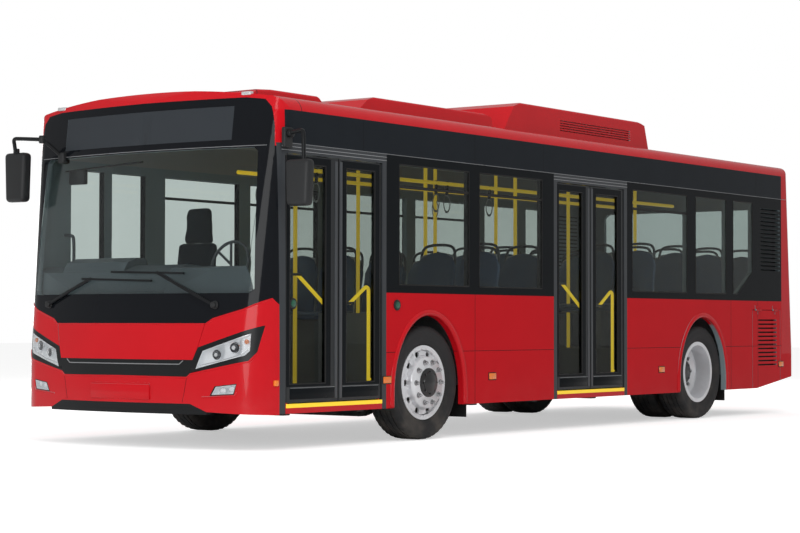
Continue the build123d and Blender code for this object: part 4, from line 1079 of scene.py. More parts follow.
# ------------------------------------------------------------------ studio
@dataclass
class Studio:
    """The camera, the pale floor and the soft lights."""

    camera_at: Point = (10.647, -15.411, 0.927)
    camera_turn: Point = (91.629, -0.097, 36.291)
    lens: float = 90.78
    sky: float = 1.0
    ambient: float = 0.5
    reflected: float = 0.42
    floor_half: float = 60.0
    floor_glow: float = 0.5
    key: float = 500.0
    fill: float = 260.0
    panel: float = 260.0

    def build(self) -> None:
        """Make the camera, floor, lamps and world."""
        scene = bpy.context.scene
        scene.view_settings.view_transform = "Standard"
        bpy.ops.object.select_all(action="DESELECT")
        bpy.ops.object.camera_add(
            location=self.camera_at, rotation=Euler([math.radians(part) for part in self.camera_turn])
        )
        camera = bpy.context.object
        camera.name = "view_camera"
        camera.data.lens = self.lens
        camera.data.sensor_width = 36.0
        camera.data.clip_end = 400.0
        scene.camera = camera
        self._floor()
        self._lamp("key_light", (9.0, -9.0, 9.5), (0.0, -0.5, 1.2), 6.0, self.key)
        self._lamp("fill_light", (-8.0, -12.0, 7.0), (0.0, -1.0, 1.4), 7.0, self.fill)
        self._lamp("top_light", (1.0, 0.0, 11.0), (0.0, 0.0, 2.0), 8.0, self.fill)
        self._lamp("rear_light", (-6.0, 12.0, 7.0), (0.0, 1.0, 1.4), 7.0, self.fill)
        for name, at in (("corner_panel", (4.1, -12.5, 2.6)), ("far_corner_panel", (-11.3, 4.1, 2.6))):
            self._lamp(name, at, (0.0, -3.5, 1.6), 5.0, self.panel)
            bpy.data.objects[name].visible_glossy = True
        self._world()

    def _floor(self) -> None:
        """Make the pale floor."""
        bpy.ops.mesh.primitive_plane_add(size=2 * self.floor_half, location=(0, 0, -0.0005))
        floor = bpy.context.object
        floor.name = "studio_floor"
        made = bpy.data.materials.new("pale_floor")
        made.use_nodes = True
        wire = Wiring(made.node_tree)
        shader = made.node_tree.nodes["Principled BSDF"]
        shader.inputs["Base Color"].default_value = (0.86, 0.86, 0.86, 1)
        shader.inputs["Roughness"].default_value = 0.9
        shader.inputs["Specular IOR Level"].default_value = 0.0
        shader.inputs["Emission Color"].default_value = (1, 1, 1, 1)
        path = wire.node("ShaderNodeLightPath")
        wire.feed(shader.inputs["Emission Strength"],
                  wire.sum("MULTIPLY", path.outputs["Is Camera Ray"], self.floor_glow))
        floor.data.materials.append(made)

    def _lamp(self, name: str, at: Point, to: Point, size: float, power: float) -> None:
        """Add a large soft lamp that points at a place.

        Args:
            name: Its name.
            at: Its place.
            to: The place that it points at.
            size: Its diameter.
            power: Its power.
        """
        bpy.ops.object.light_add(type="AREA", location=at)
        lamp = bpy.context.object
        lamp.name = name
        lamp.data.shape = "DISK"
        lamp.data.size = size
        lamp.data.energy = power
        lamp.visible_glossy = False
        lamp.visible_transmission = False
        lamp.rotation_euler = (Vector(to) - Vector(at)).to_track_quat("-Z", "Y").to_euler()

    def _world(self) -> None:
        """Make a white surround that lights matt surfaces less than it shows."""
        world = bpy.data.worlds.new("studio_world")
        bpy.context.scene.world = world
        world.use_nodes = True
        world.node_tree.nodes.clear()
        wire = Wiring(world.node_tree)
        path = wire.node("ShaderNodeLightPath")
        seen = wire.sum("MAXIMUM", path.outputs["Is Camera Ray"], path.outputs["Is Transmission Ray"])
        back = wire.node("ShaderNodeBackground")
        back.inputs["Color"].default_value = (1, 1, 1, 1)
        strength = wire.sum("MULTIPLY_ADD", seen, self.sky - self.ambient, self.ambient)
        reflected = wire.sum("MULTIPLY", path.outputs["Is Glossy Ray"], self.reflected - self.ambient)
        strength = wire.sum("ADD", strength, reflected)
        wire.feed(back.inputs["Strength"], strength)
        wire.feed(wire.node("ShaderNodeOutputWorld").inputs["Surface"], back.outputs[0])


# ------------------------------------------------------------------ front end
@dataclass
class FrontLamps:
    """Headlamps and fog lamps: black housings, silver bowls, projectors and clear lenses."""

    lens: tuple[Pair, ...] = (
        (0.709, 0.596), (0.761, 0.727), (1.128, 0.854), (1.126, 0.728), (1.095, 0.696),
    )
    fog: tuple[Pair, ...] = ((0.842, 0.408), (0.876, 0.466), (1.036, 0.484), (1.016, 0.418))
    projectors: tuple[tuple[float, float, float], ...] = ((0.862, 0.700, 0.040), (1.000, 0.752, 0.046))
    indicator: Pair = (1.086, 0.795)
    bar: tuple[Pair, ...] = ((0.735, 0.622), (0.90, 0.655), (1.080, 0.708), (1.108, 0.738))
    bulbs: tuple[Pair, ...] = ((0.915, 0.440), (0.985, 0.452))
    set_back: float = 0.030
    facing: float = -0.35
    lens_wall: float = 0.003
    bowl_wall: float = 0.002
    ring: tuple[Pair, ...] = (
        (0.9, 0), (1.0, 0.004), (1.0, 0.014), (0.93, 0.02), (0.8, 0.016), (0.72, 0.006),
    )
    dome: tuple[Pair, ...] = (
        (0.7, 0.004), (0.7, 0.012), (0.6, 0.02), (0.42, 0.026), (0.2, 0.029), (0.0, 0.03),
    )
    pupil: tuple[Pair, ...] = ((0.34, 0.0295), (0.3, 0.0315), (0.0, 0.033))
    amber: tuple[Pair, ...] = ((0.018, 0), (0.018, 0.006), (0.013, 0.011), (0.001, 0.013))
    bulb: tuple[Pair, ...] = ((0.024, 0), (0.026, 0.008), (0.018, 0.014), (0.001, 0.017))

    def _prism(self, bench: Bench, shape: tuple[Pair, ...], side: Side) -> bpy.types.Object:
        """Make a block that covers an outline on one side of the front."""
        points = tuple((side.value * x, NOSE - 0.1, z) for x, z in shape)
        return bench.outline(points, (0, 0.7, 0))

    def build(self, bench: Bench) -> None:
        """Build both sides and stand them in for the CAD lamps.

        Args:
            bench: The modelling steps.
        """
        housing = bench.from_node("front_lamps")
        bowls, lenses, inner = [], [], []
        for side in Side:
            for shape in (self.lens, self.fog):
                tool = self._prism(bench, shape, side)
                block = bench.from_node("front_lamps")
                bench.cut(block, tool, "INTERSECT")
                bench.cut(housing, tool, "DIFFERENCE")
                bpy.data.objects.remove(tool)
                bench.tidy(block)
                lens = bench.twin(block)
                bench.keep(lens, lambda face: face.normal.y < self.facing and face.area > 1e-9)
                bench.apply(lens, "SOLIDIFY", thickness=self.lens_wall, offset=-1)
                lenses.append(bench.paint(lens, Pane.LAMP))
                bench.keep(block, lambda face: face.normal.y >= self.facing)
                bench.edit_all(block)
                bpy.ops.mesh.flip_normals()
                bench.apply(block, "SOLIDIFY", thickness=self.bowl_wall, offset=1)
                bowls.append(bench.paint(block, Paint.BOWL))
            inner += self._inside(bench, side)
        bench.tidy(housing)
        bench.deliver(
            bench.paint(housing, Paint.SATIN_BLACK), "lamp_housings", replaces=("front_lamps",),
        )
        bench.deliver(bench.join(bowls), "lamp_bowls")
        bench.deliver(bench.join(inner), "lamp_optics")
        bench.deliver(bench.join(lenses), "lamp_lenses")

    def _inside(self, bench: Bench, side: Side) -> list[bpy.types.Object]:
        """Make one side's projectors, direction lamp and light bar.

        Args:
            bench: The modelling steps.
            side: The side of the bus.

        Returns:
            The painted pieces.
        """
        made = []
        toward = turned_by(90, z=12 * side.value)
        for x, z, size in self.projectors:
            y = front_y(side.value * x, z, ("front_lamps",))
            ring, dome, pupil = (
                bench.turned(scaled(profile, size), steps)
                for profile, steps in ((self.ring, 40), (self.dome, 32), (self.pupil, 24))
            )
            for piece, finish in ((ring, Paint.CHROME), (dome, Paint.DOME), (pupil, Paint.WHITE)):
                at = (side.value * x, y + self.set_back + 0.006, z)
                made.append(bench.paint(bench.place(piece, toward, at), finish))
        for (x, z), profile, steps, finish in (
            (self.indicator, self.amber, 24, Paint.ORANGE),
            *((at, self.bulb, 28, Paint.CHROME) for at in self.bulbs),
        ):
            y = front_y(side.value * x, z, ("front_lamps",))
            piece = bench.place(
                bench.turned(profile, steps), toward, (side.value * x, y + self.set_back, z),
            )
            made.append(bench.paint(piece, finish))
        line = []
        for x, z in self.bar:
            y = front_y(side.value * x, z, ("front_lamps",))
            line.append((side.value * x, y + 0.012, z))
        made.append(bench.paint(bench.tube(line, 0.0045, order=2), Paint.WHITE))
        return made


@dataclass
class FrontTrim:
    """The display on the upper glass, light grey lines painted as highlights, lenses on the brow and the
    wipers' caps.
    """

    display_low: float = 2.26
    display_gap: float = 0.0012
    display_wall: float = 0.004
    lip: tuple[Pair, ...] = ((-0.60, 0.655), (-0.565, 0.628), (0.565, 0.628), (0.60, 0.655))
    seam_height: float = 2.232
    seam_reach: float = 1.16
    plate: tuple[Pair, Pair] = ((-0.30, 0.30), (0.365, 0.475))
    brow_lens: Point = (0.96, FRONT_AXLE - 1.823, 2.624)
    brow_half: Pair = (0.045, 0.014)
    wiper_pivots: tuple[Pair, ...] = ((-0.894, 1.075), (0.837, 1.063))
    pivot_cap: tuple[Pair, ...] = (
        (0.030, 0), (0.030, 0.008), (0.024, 0.012), (0.024, 0.03), (0.018, 0.036), (0.001, 0.037),
    )

    def build(self, bench: Bench) -> None:
        """Build every piece of trim on the front.

        Args:
            bench: The modelling steps.
        """
        self._display(bench)
        self._lines(bench)
        self._lenses(bench)
        self._caps(bench)
        self._plate_panel(bench)

    def _plate_panel(self, bench: Bench) -> None:
        """Raise the blank panel in the middle of the bumper.

        Args:
            bench: The modelling steps.
        """
        (x0, x1), (z0, z1) = self.plate
        y = front_y((x0 + x1) / 2, (z0 + z1) / 2, ("bumper",))
        panel = bench.slab((x0, y - 0.002, z0), (x1, y + 0.012, z1), 0.0018, 2)
        bench.deliver(bench.paint(panel, Paint.RED), "blank_plate_panel")

    def _display(self, bench: Bench) -> None:
        """Lay the dark display over the upper glass.

        Args:
            bench: The modelling steps.
        """
        panel = bench.from_node("front_glass")
        bench.keep(panel, lambda face: face.normal.y < -0.3 and face.center.z > self.display_low)
        bench.edit_all(panel)
        bpy.ops.transform.translate(value=(0, -self.display_gap, 0))
        bench.apply(panel, "SOLIDIFY", thickness=self.display_wall, offset=-1)
        bench.deliver(bench.paint(panel, Paint.SIGN), "sign_display")

    def _lines(self, bench: Bench) -> None:
        """Run the thin light grey lines across the grille and over the windscreen, painted highlights
        along the grille's lip and the top of the glass.

        Args:
            bench: The modelling steps.
        """
        lip = bench.tube(laid_line(self.lip, ("grille_and_lip",), 0.001, 6), 0.004, 2, 2)
        bench.deliver(bench.paint(lip, Paint.TRIM), "grille_moulding")
        ends = ((-self.seam_reach, self.seam_height), (self.seam_reach, self.seam_height))
        line = laid_line(ends, ("front_mask", "front_glass", "corner_posts"), -0.0005, 24)
        bench.deliver(bench.paint(bench.tube(line, 0.0025, 1, 2), Paint.TRIM), "screen_seam_strip")

    def _lenses(self, bench: Bench) -> None:
        """Set the two small lamps on the brow.

        Args:
            bench: The modelling steps.
        """
        lenses = []
        x, y, z = self.brow_lens
        wide, tall = self.brow_half
        for side in Side:
            at_y = surface_y(side.value * x, z, ("roof", "cant_rails")) or y
            low = (side.value * x - wide, at_y - 0.012, z - tall)
            high = (side.value * x + wide, at_y + 0.03, z + tall)
            lenses.append(bench.paint(bench.slab(low, high, 0.009, 3), Paint.WHITE))
        bench.deliver(bench.join(lenses), "brow_lamps")

    def _caps(self, bench: Bench) -> None:
        """Put a stepped cap on each wiper's pivot.

        Args:
            bench: The modelling steps.
        """
        made = []
        forward = turned_by(90)
        for x, z in self.wiper_pivots:
            y = front_y(x, z, ("front_mask", "front_panels"))
            cap = bench.turned(self.pivot_cap, 28)
            made.append(bench.paint(bench.place(cap, forward, (x, y - 0.002, z)), Paint.PLASTIC))
        bench.deliver(bench.join(made), "wiper_caps")


@dataclass
class Mirrors:
    """The two outside mirrors: brackets, bent arms, rounded heads and their glass."""

    arm: float = 0.0155
    head_edge: float = 0.034
    left_arm: tuple[Point, ...] = (
        (1.285, FRONT_AXLE - 1.81, 2.318), (1.42, FRONT_AXLE - 1.84, 2.326),
        (1.462, FRONT_AXLE - 1.85, 2.328), (1.476, FRONT_AXLE - 1.856, 2.29),
        (1.484, FRONT_AXLE - 1.866, 2.16), (1.488, FRONT_AXLE - 1.87, 2.06),
    )
    left_head: tuple[Point, Point] = (
        (1.368, FRONT_AXLE - 1.955, 1.775), (1.592, FRONT_AXLE - 1.858, 2.112),
    )
    right_arm: tuple[Point, ...] = (
        (-0.88, FRONT_AXLE - 1.93, 2.215), (-0.925, FRONT_AXLE - 2.03, 2.31),
        (-0.965, FRONT_AXLE - 2.102, 2.368), (-1.06, FRONT_AXLE - 2.104, 2.375),
        (-1.21, FRONT_AXLE - 2.109, 2.386), (-1.283, FRONT_AXLE - 2.108, 2.39),
        (-1.295, FRONT_AXLE - 2.08, 2.33), (-1.303, FRONT_AXLE - 2.055, 2.22),
    )
    right_head: tuple[Point, Point] = (
        (-1.42, FRONT_AXLE - 2.09, 1.89), (-1.19, FRONT_AXLE - 1.985, 2.282),
    )
    foot_width: float = 0.86
    back_depth: float = 0.72
    glass_inset: float = 0.012
    bracket: tuple[Point, Point] = (
        (1.262, FRONT_AXLE - 1.852, 2.212), (1.299, FRONT_AXLE - 1.763, 2.362),
    )
    boss: tuple[Pair, ...] = ((0.03, 0), (0.034, 0.006), (0.034, 0.03), (0.026, 0.04), (0.001, 0.042))
    boss_at: Point = (1.297, FRONT_AXLE - 1.808, 2.318)
    foot: tuple[Point, Point] = ((-0.915, FRONT_AXLE - 1.985, 2.185), (-0.85, FRONT_AXLE - 1.90, 2.27))
    knob: tuple[Pair, ...] = ((0.02, -0.03), (0.025, -0.024), (0.025, 0.024), (0.02, 0.03))
    knobs_at: tuple[Point, Point] = (
        (-0.965, FRONT_AXLE - 2.102, 2.368), (-1.303, FRONT_AXLE - 2.055, 2.285),
    )

    def build(self, bench: Bench) -> None:
        """Build both mirrors and stand them in for the CAD pieces.

        Args:
            bench: The modelling steps.
        """
        rigid, glass = [], []
        for arm, head in ((self.left_arm, self.left_head), (self.right_arm, self.right_head)):
            rigid.append(bench.paint(bench.tube(list(arm), self.arm, 4), Paint.SATIN_BLACK))
            rigid.append(bench.paint(self._head(bench, *head), Paint.PLASTIC))
            glass.append(bench.paint(self._pane(bench, *head), Pane.MIRROR))
        rigid.append(bench.paint(bench.slab(*self.bracket, 0.008), Paint.PLASTIC))
        boss = bench.place(bench.turned(self.boss, 28), turned_by(y=90), self.boss_at)
        rigid.append(bench.paint(boss, Paint.SATIN_BLACK))
        rigid.append(bench.paint(bench.slab(*self.foot, 0.015, 3), Paint.PLASTIC))
        for at in self.knobs_at:
            knob = bench.place(bench.turned(self.knob, 24), Matrix.Identity(3), at)
            rigid.append(bench.paint(knob, Paint.PLASTIC))
        bench.deliver(bench.join(rigid), "outside_mirrors", replaces=("mirrors",), angle=50)
        bench.deliver(bench.join(glass), "mirror_glass")

    def _head(self, bench: Bench, low: Point, high: Point) -> bpy.types.Object:
        """Make a rounded head that narrows towards its foot, open in front of the glass.

        Args:
            bench: The modelling steps.
            low: The lowest corner.
            high: The highest corner.

        Returns:
            The head.
        """
        head = bench.slab(low, high, self.head_edge, 4)
        middle = (Vector(low) + Vector(high)) / 2
        size = Vector(high) - Vector(low)
        for corner in head.data.vertices:
            height = (corner.co.z - low[2]) / size.z
            narrow = self.foot_width + (1 - self.foot_width) * min(1.0, height * 1.6)
            corner.co.x = middle.x + (corner.co.x - middle.x) * narrow
            if corner.co.y < middle.y:
                bulge = 1 - abs(corner.co.x - middle.x) / size.x
                corner.co.y = middle.y + (corner.co.y - middle.y) * (
                    self.back_depth + (1 - self.back_depth) * bulge
                )
        bench.edit(head)
        bench.pick(head, lambda face: face.normal.y > 0.95)
        bpy.ops.mesh.inset(thickness=0.006, depth=0)
        bpy.ops.mesh.inset(thickness=0.004, depth=-self.glass_inset)
        bpy.ops.object.mode_set(mode="OBJECT")
        return head

    def _pane(self, bench: Bench, low: Point, high: Point) -> bpy.types.Object:
        """Make the glass that lies in a head.

        Args:
            bench: The modelling steps.
            low: The lowest corner.
            high: The highest corner.

        Returns:
            The glass.
        """
        edge, back = self.head_edge + self.glass_inset, high[1]
        near = (low[0] + edge, back - 0.0125, low[2] + edge)
        far = (high[0] - edge, back - 0.006, high[2] - edge)
        return bench.slab(near, far, 0.0015, 1)


# ------------------------------------------------------------------ wheels
@dataclass
class Wheels:
    """Tyres with ribs and grooves, wheel nuts, hub caps and the opened front rims."""

    steps: int = 144
    bead: Pair = (0.100, 0.286)
    wall: tuple[Pair, ...] = (
        (0.100, 0.299), (0.110, 0.306), (0.119, 0.322), (0.1205, 0.330), (0.1225, 0.331),
        (0.1275, 0.346), (0.1305, 0.368), (0.1308, 0.392), (0.1295, 0.408), (0.1308, 0.411),
        (0.129, 0.424), (0.1245, 0.437), (0.117, 0.4465), (0.106, 0.4535),
    )
    grooves: tuple[float, ...] = (0.070, 0.026)
    groove_half: float = 0.0045
    groove_depth: float = 0.011
    notch_every: int = 3
    notch_depth: float = 0.007
    shoulder: float = 0.44
    nut_circle: float = 0.1675
    nut_count: int = 10
    washer: tuple[Pair, ...] = ((0.0235, 0), (0.0235, 0.004), (0.020, 0.005))
    nut: tuple[Pair, ...] = ((0.0185, 0.004), (0.0185, 0.021), (0.0165, 0.024))
    stud: tuple[Pair, ...] = ((0.0105, 0.02), (0.0105, 0.034), (0.0085, 0.036))
    bolt: tuple[Pair, ...] = ((0.009, 0.0), (0.009, 0.010), (0.007, 0.012))
    bolt_circle: float = 0.088
    bolt_count: int = 8
    twin_spacing: float = 0.322
    hand_hole: Pair = (0.0265, 0.2335)
    pin_middle: float = 0.105
    pin_length: float = 0.07
    # A thin near-black disc behind the front hand holes: partly the brake's own dark colour, partly
    # painted shade inside the wheel.
    drum_and_shade_face: float = 0.058
    drum_and_shade: tuple[Pair, ...] = ((0.248, 0.0), (0.250, 0.004), (0.001, 0.005))
    front_cap: tuple[Pair, ...] = (
        (0.116, -0.001), (0.116, 0.010), (0.106, 0.016), (0.086, 0.018), (0.082, 0.026), (0.068, 0.029),
        (0.062, 0.033), (0.001, 0.035),
    )
    rear_cap: tuple[Pair, ...] = (
        (0.122, -0.085), (0.122, -0.040), (0.106, 0.002), (0.074, 0.004), (0.070, 0.012),
        (0.050, 0.014), (0.001, 0.015),
    )

    def _section(self) -> list[Pair]:
        """Return the tyre's outline as offset from its middle and radius.

        Returns:
            The outline's corners in order.
        """
        right = [self.bead, *self.wall]
        crown = TYRE_RADIUS
        for place in self.grooves:
            low, high = place - self.groove_half, place + self.groove_half
            right += [(high, crown - 0.001), (high - 0.001, crown - self.groove_depth),
                      (low + 0.001, crown - self.groove_depth), (low, crown - 0.0003)]
        left = [(-x, radius) for x, radius in reversed(right)]
        return right + left

    def _tyre(self, bench: Bench) -> bpy.types.Object:
        """Make one tyre about X at the origin.

        Args:
            bench: The modelling steps.

        Returns:
            The painted tyre.
        """
        section = self._section()
        bench.clear()
        bpy.ops.mesh.primitive_circle_add(
            vertices=len(section), fill_type="NOTHING", location=(0, 0, 0),
        )
        tyre = bpy.context.object
        for corner, (x, radius) in zip(tyre.data.vertices, section):
            corner.co = (x, 0, radius)
        bpy.ops.object.mode_set(mode="EDIT")
        bpy.ops.mesh.select_all(action="SELECT")
        bpy.ops.mesh.spin(steps=self.steps, angle=2 * math.pi, center=(0, 0, 0), axis=(1, 0, 0))
        bench.tidy(tyre, 1e-4)
        for corner in tyre.data.vertices:
            x, y, z = corner.co
            radius = math.hypot(y, z)
            turn = round(math.atan2(y, z) / (2 * math.pi) * self.steps)
            if abs(x) > self.grooves[0] and radius > self.shoulder and turn % self.notch_every == 0:
                share = 1 - self.notch_depth / radius
                corner.co = (x, y * share, z * share)
        return bench.paint(tyre, Paint.TYRE)

    def _nut(self, bench: Bench) -> bpy.types.Object:
        """Make one nut on its washer with the stud's end, pointing along Z."""
        parts = [bench.turned(self.washer, 16), bench.turned(self.nut, 6), bench.turned(self.stud, 12)]
        return bench.paint(bench.join(parts), Paint.STEEL)

    def _circle(self, count: int, radius: float, axle: float, shift: float = 0.5) -> list[Pair]:
        """Space places evenly round a wheel's axle.

        Args:
            count: How many places.
            radius: The circle's radius.
            axle: The axle's place along the bus.
            shift: How far the first one stands from the top, as a share of a step.

        Returns:
            Each place along the bus and up.
        """
        turns = [2 * math.pi * (index + shift) / count for index in range(count)]
        return [
            (axle + radius * math.sin(turn), HUB_HEIGHT + radius * math.cos(turn)) for turn in turns
        ]

    def _face_x(self, node: str, side: Side, y: float, z: float) -> float:
        """Find the wheel's outer face at a place.

        Args:
            node: The CAD rim.
            side: The side of the bus.
            y: Place along the bus.
            z: Height.

        Returns:
            The face's place across the bus.
        """
        start, way = Vector((side.value * 3, y, z)), Vector((-side.value, 0, 0))
        hit, place, _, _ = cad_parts[node].ray_cast(start, way)
        return place.x if hit else side.value * WHEEL_X

    def _nuts(self, bench: Bench, node: str, side: Side, axle: float) -> list[bpy.types.Object]:
        """Set the nuts on their circle.

        Args:
            bench: The modelling steps.
            node: The CAD rim.
            side: The side of the bus.
            axle: The axle's place along the bus.

        Returns:
            The nuts.
        """
        model = self._nut(bench)
        outward = turned_by(y=90 * side.value)
        made = []
        for y, z in self._circle(self.nut_count, self.nut_circle, axle):
            x = self._face_x(node, side, y, z)
            made.append(bench.place(bench.twin(model), outward, (x - side.value * 0.001, y, z)))
        bpy.data.objects.remove(model)
        return made

    def _cap(self, bench: Bench, node: str, side: Side, axle: float, front: bool) -> bpy.types.Object:
        """Make the black hub in the middle of a wheel.

        Args:
            bench: The modelling steps.
            node: The CAD rim.
            side: The side of the bus.
            axle: The axle's place along the bus.
            front: Whether it is a front wheel.

        Returns:
            The painted hub.
        """
        outward = turned_by(y=90 * side.value)
        profile = self.front_cap if front else self.rear_cap
        edge = self.front_cap[0][0] if front else self.rear_cap[-2][0]
        x = self._face_x(node, side, axle + edge, HUB_HEIGHT)
        cap = bench.turned(profile, 48)
        bench.place(cap, outward, (x, axle, HUB_HEIGHT))
        bolts = []
        face = x + side.value * profile[2][1]
        for y, z in self._circle(self.bolt_count, self.bolt_circle, axle, 0.0):
            head = bench.place(bench.turned(self.bolt, 6), outward, (face, y, z))
            bolts.append(bench.paint(head, Paint.HUB))
        return bench.join([bench.paint(cap, Paint.HUB), *bolts])

    def _rim(self, bench: Bench, node: str, side: Side, axle: float) -> bpy.types.Object:
        """Open a front rim's hand holes to their full size, with a thin near-black disc behind them: the
        brake's own dark iron, darkened further as painted shade inside the wheel.

        Args:
            bench: The modelling steps.
            node: The CAD rim.
            side: The side of the bus.
            axle: The axle's place along the bus.

        Returns:
            The rim with the dark disc behind it.
        """
        outward = turned_by(y=90 * side.value)
        rim = bench.from_node(node)
        radius, circle = self.hand_hole
        pins = []
        for y, z in self._circle(self.nut_count, circle, axle):
            bpy.ops.mesh.primitive_cylinder_add(
                vertices=28, radius=radius, depth=self.pin_length, location=(0, 0, 0)
            )
            spot = (side.value * (WHEEL_X + self.pin_middle), y, z)
            pins.append(bench.place(bpy.context.object, outward, spot))
        tool = bench.join(pins)
        bench.cut(rim, tool, "DIFFERENCE")
        bpy.data.objects.remove(tool)
        bench.tidy(rim)
        # Partly painted shade: a thin near-black disc behind the hand holes stands for the brake and the
        # shade inside the wheel.
        drum_and_shade = bench.turned(self.drum_and_shade, 48)
        bench.place(drum_and_shade, outward, (side.value * (WHEEL_X + self.drum_and_shade_face), axle, HUB_HEIGHT))
        return bench.join([bench.paint(rim, Paint.SILVER), bench.paint(drum_and_shade, Paint.CHASSIS)])

    def build(self, bench: Bench) -> None:
        """Build the tyres, nuts and hubs of all the wheels.

        Args:
            bench: The modelling steps.
        """
        model = self._tyre(bench)
        for side in Side:
            word = side.name.lower()
            for axle, front in ((FRONT_AXLE, True), (REAR_AXLE, False)):
                body = f"front_{word}_wheel" if front else f"rear_{word}_wheels"
                rim = f"front_{word}_rim" if front else f"rear_{word}_rims"
                old = f"front_{word}_tyre" if front else f"rear_{word}_tyres"
                places = [WHEEL_X] if front else [WHEEL_X, WHEEL_X - self.twin_spacing]
                tyres = []
                for x in places:
                    tyre = bench.twin(model)
                    tyres.append(
                        bench.place(tyre, Matrix.Identity(3), (side.value * x, axle, HUB_HEIGHT))
                    )
                bench.deliver(bench.join(tyres), f"{body}_tyres", body, (old,), 40)
                nuts = self._nuts(bench, rim, side, axle)
                bench.deliver(bench.join(nuts), f"{body}_nuts", body)
                bench.deliver(self._cap(bench, rim, side, axle, front), f"{body}_hub", body)
                if front:
                    opened = self._rim(bench, rim, side, axle)
                    bench.deliver(opened, f"{body}_rim", body, (rim,), 35)
        bpy.data.objects.remove(model)


# ------------------------------------------------------------------ doors
@dataclass
class Doors:
    """Seals, borders, ridges, kick panels, push buttons and the yellow strips on the sills."""

    sills: tuple[Pair, ...] = ((-4.051, -2.879), (-0.318, 0.854))
    strip: Pair = (0.311, 0.341)
    kick: Pair = (0.372, 0.452)
    kick_gap: Pair = (0.045, 0.035)
    seal_inset: float = 0.004
    border: float = 0.055
    ridge: Pair = (0.008, 0.040)
    button: float = 0.042
    button_rim: tuple[Pair, ...] = ((1.0, 0), (1.0, 0.008), (0.9, 0.012), (0.72, 0.012), (0.68, 0.007))
    button_cap: tuple[Pair, ...] = ((0.66, 0.006), (0.64, 0.013), (0.4, 0.016), (0.0, 0.017))
    buttons: tuple[tuple[str, str, Point], ...] = (
        ("door_button_leaf", "front_door_front", (HALF - 0.0225, FRONT_AXLE - 1.705, 1.075)),
        ("door_button_wall_front", BODY, (HALF - 0.001, FRONT_AXLE - 0.446, 1.074)),
    )
    leaves: tuple[str, ...] = (
        "front_door_front", "front_door_rear", "middle_door_front", "middle_door_rear",
    )

    def build(self, bench: Bench) -> None:
        """Build what is on each leaf and below it.

        Args:
            bench: The modelling steps.
        """
        strips = []
        for start, end in self.sills:
            low = (HALF - 0.01, start + 0.002, self.strip[0])
            high = (HALF + 0.003, end - 0.002, self.strip[1])
            strips.append(bench.paint(bench.slab(low, high, 0.002, 1), Paint.YELLOW))
        bench.deliver(bench.join(strips), "sill_strips")
        for leaf in self.leaves:
            self._leaf(bench, leaf)
        outward = turned_by(y=90)
        for name, body, at in self.buttons:
            rim = bench.turned(scaled(self.button_rim, self.button), 36)
            cap = bench.turned(scaled(self.button_cap, self.button), 32)
            bench.paint(rim, Paint.PLASTIC)
            bench.paint(cap, Paint.GREEN)
            both = bench.place(bench.join([rim, cap]), outward, at)
            bench.deliver(both, name, body)

    def _leaf(self, bench: Bench, leaf: str) -> None:
        """Dress one leaf with its kick panel, glass seal and edge seals.

        Args:
            bench: The modelling steps.
            leaf: The leaf's body.
        """
        low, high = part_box(f"{leaf}_leaf")
        glass_low, glass_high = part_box(f"{leaf}_glass")
        start, end = low.y + self.kick_gap[0], high.y - self.kick_gap[1]
        panel = bench.slab(
            (high.x - 0.004, start, self.kick[0]), (high.x + 0.0025, end, self.kick[1]), 0.0022,
        )
        bench.paint(panel, Paint.BLACK)
        # Painted highlight: a thin light grey line along the kick panel's top edge.
        x, z = high.x + 0.002, self.kick[1] + 0.004
        highlight_line = bench.tube([(x, start + 0.005, z), (x, end - 0.005, z)], 0.002, 1, 2)
        bench.deliver(
            bench.join([panel, bench.paint(highlight_line, Paint.TRIM)]), f"{leaf}_kick_panel", leaf,
        )
        self._border(bench, leaf, low, high, glass_low, glass_high)
        inset = self.seal_inset
        x, near, far = high.x - inset, glass_low.y + inset, glass_high.y - inset
        under, over = glass_low.z + inset, glass_high.z - inset
        ring = [(x, near, under), (x, far, under), (x, far, over), (x, near, over)]
        runs = [bench.tube([a, b], 0.007, 1, 2) for a, b in zip(ring, ring[1:] + ring[:1])]
        for y in (low.y + inset, high.y - inset):
            runs.append(
                bench.tube(
                    [(high.x - 0.006, y, low.z + 0.01), (high.x - 0.006, y, high.z - 0.01)], 0.005, 1,
                    2,
                )
            )
        seal = bench.paint(bench.join(runs), Paint.RUBBER)
        bench.deliver(seal, f"{leaf}_seals", leaf)

    def _border(
        self, bench: Bench, leaf: str, low: Vector, high: Vector, glass_low: Vector, glass_high: Vector
    ) -> None:
        """Lay the black border round a leaf's glass and the grey ridge along its meeting edge.

        Args:
            bench: The modelling steps.
            leaf: The leaf's body.
            low: The leaf's lowest corner.
            high: The leaf's highest corner.
            glass_low: The glass's lowest corner.
            glass_high: The glass's highest corner.
        """
        meets_high = leaf.endswith("_front")
        start = max(low.y + 0.010, glass_low.y - self.border)
        end = min(high.y - 0.010, glass_high.y + self.border)
        x = (high.x - 0.0035, high.x + 0.0008)
        spans = (
            ((start, end), (glass_high.z, min(high.z - 0.01, glass_high.z + self.border))),
            ((start, end), (max(self.kick[1] + 0.012, glass_low.z - self.border), glass_low.z)),
            ((start, glass_low.y), (glass_low.z, glass_high.z)),
            ((glass_high.y, end), (glass_low.z, glass_high.z)),
        )
        parts = [bench.slab((x[0], ys[0], zs[0]), (x[1], ys[1], zs[1]), 0) for ys, zs in spans]
        bench.deliver(bench.paint(bench.join(parts), Paint.BLACK), f"{leaf}_glass_border", leaf)
        near, far = self.ridge
        ys = (high.y - far, high.y - near) if meets_high else (low.y + near, low.y + far)
        ends = (low.z + 0.02, high.z - 0.02)
        ridge = bench.slab((high.x - 0.004, ys[0], ends[0]), (high.x + 0.004, ys[1], ends[1]), 0.003)
        bench.deliver(bench.paint(ridge, Paint.RIDGE), f"{leaf}_edge_ridge", leaf)


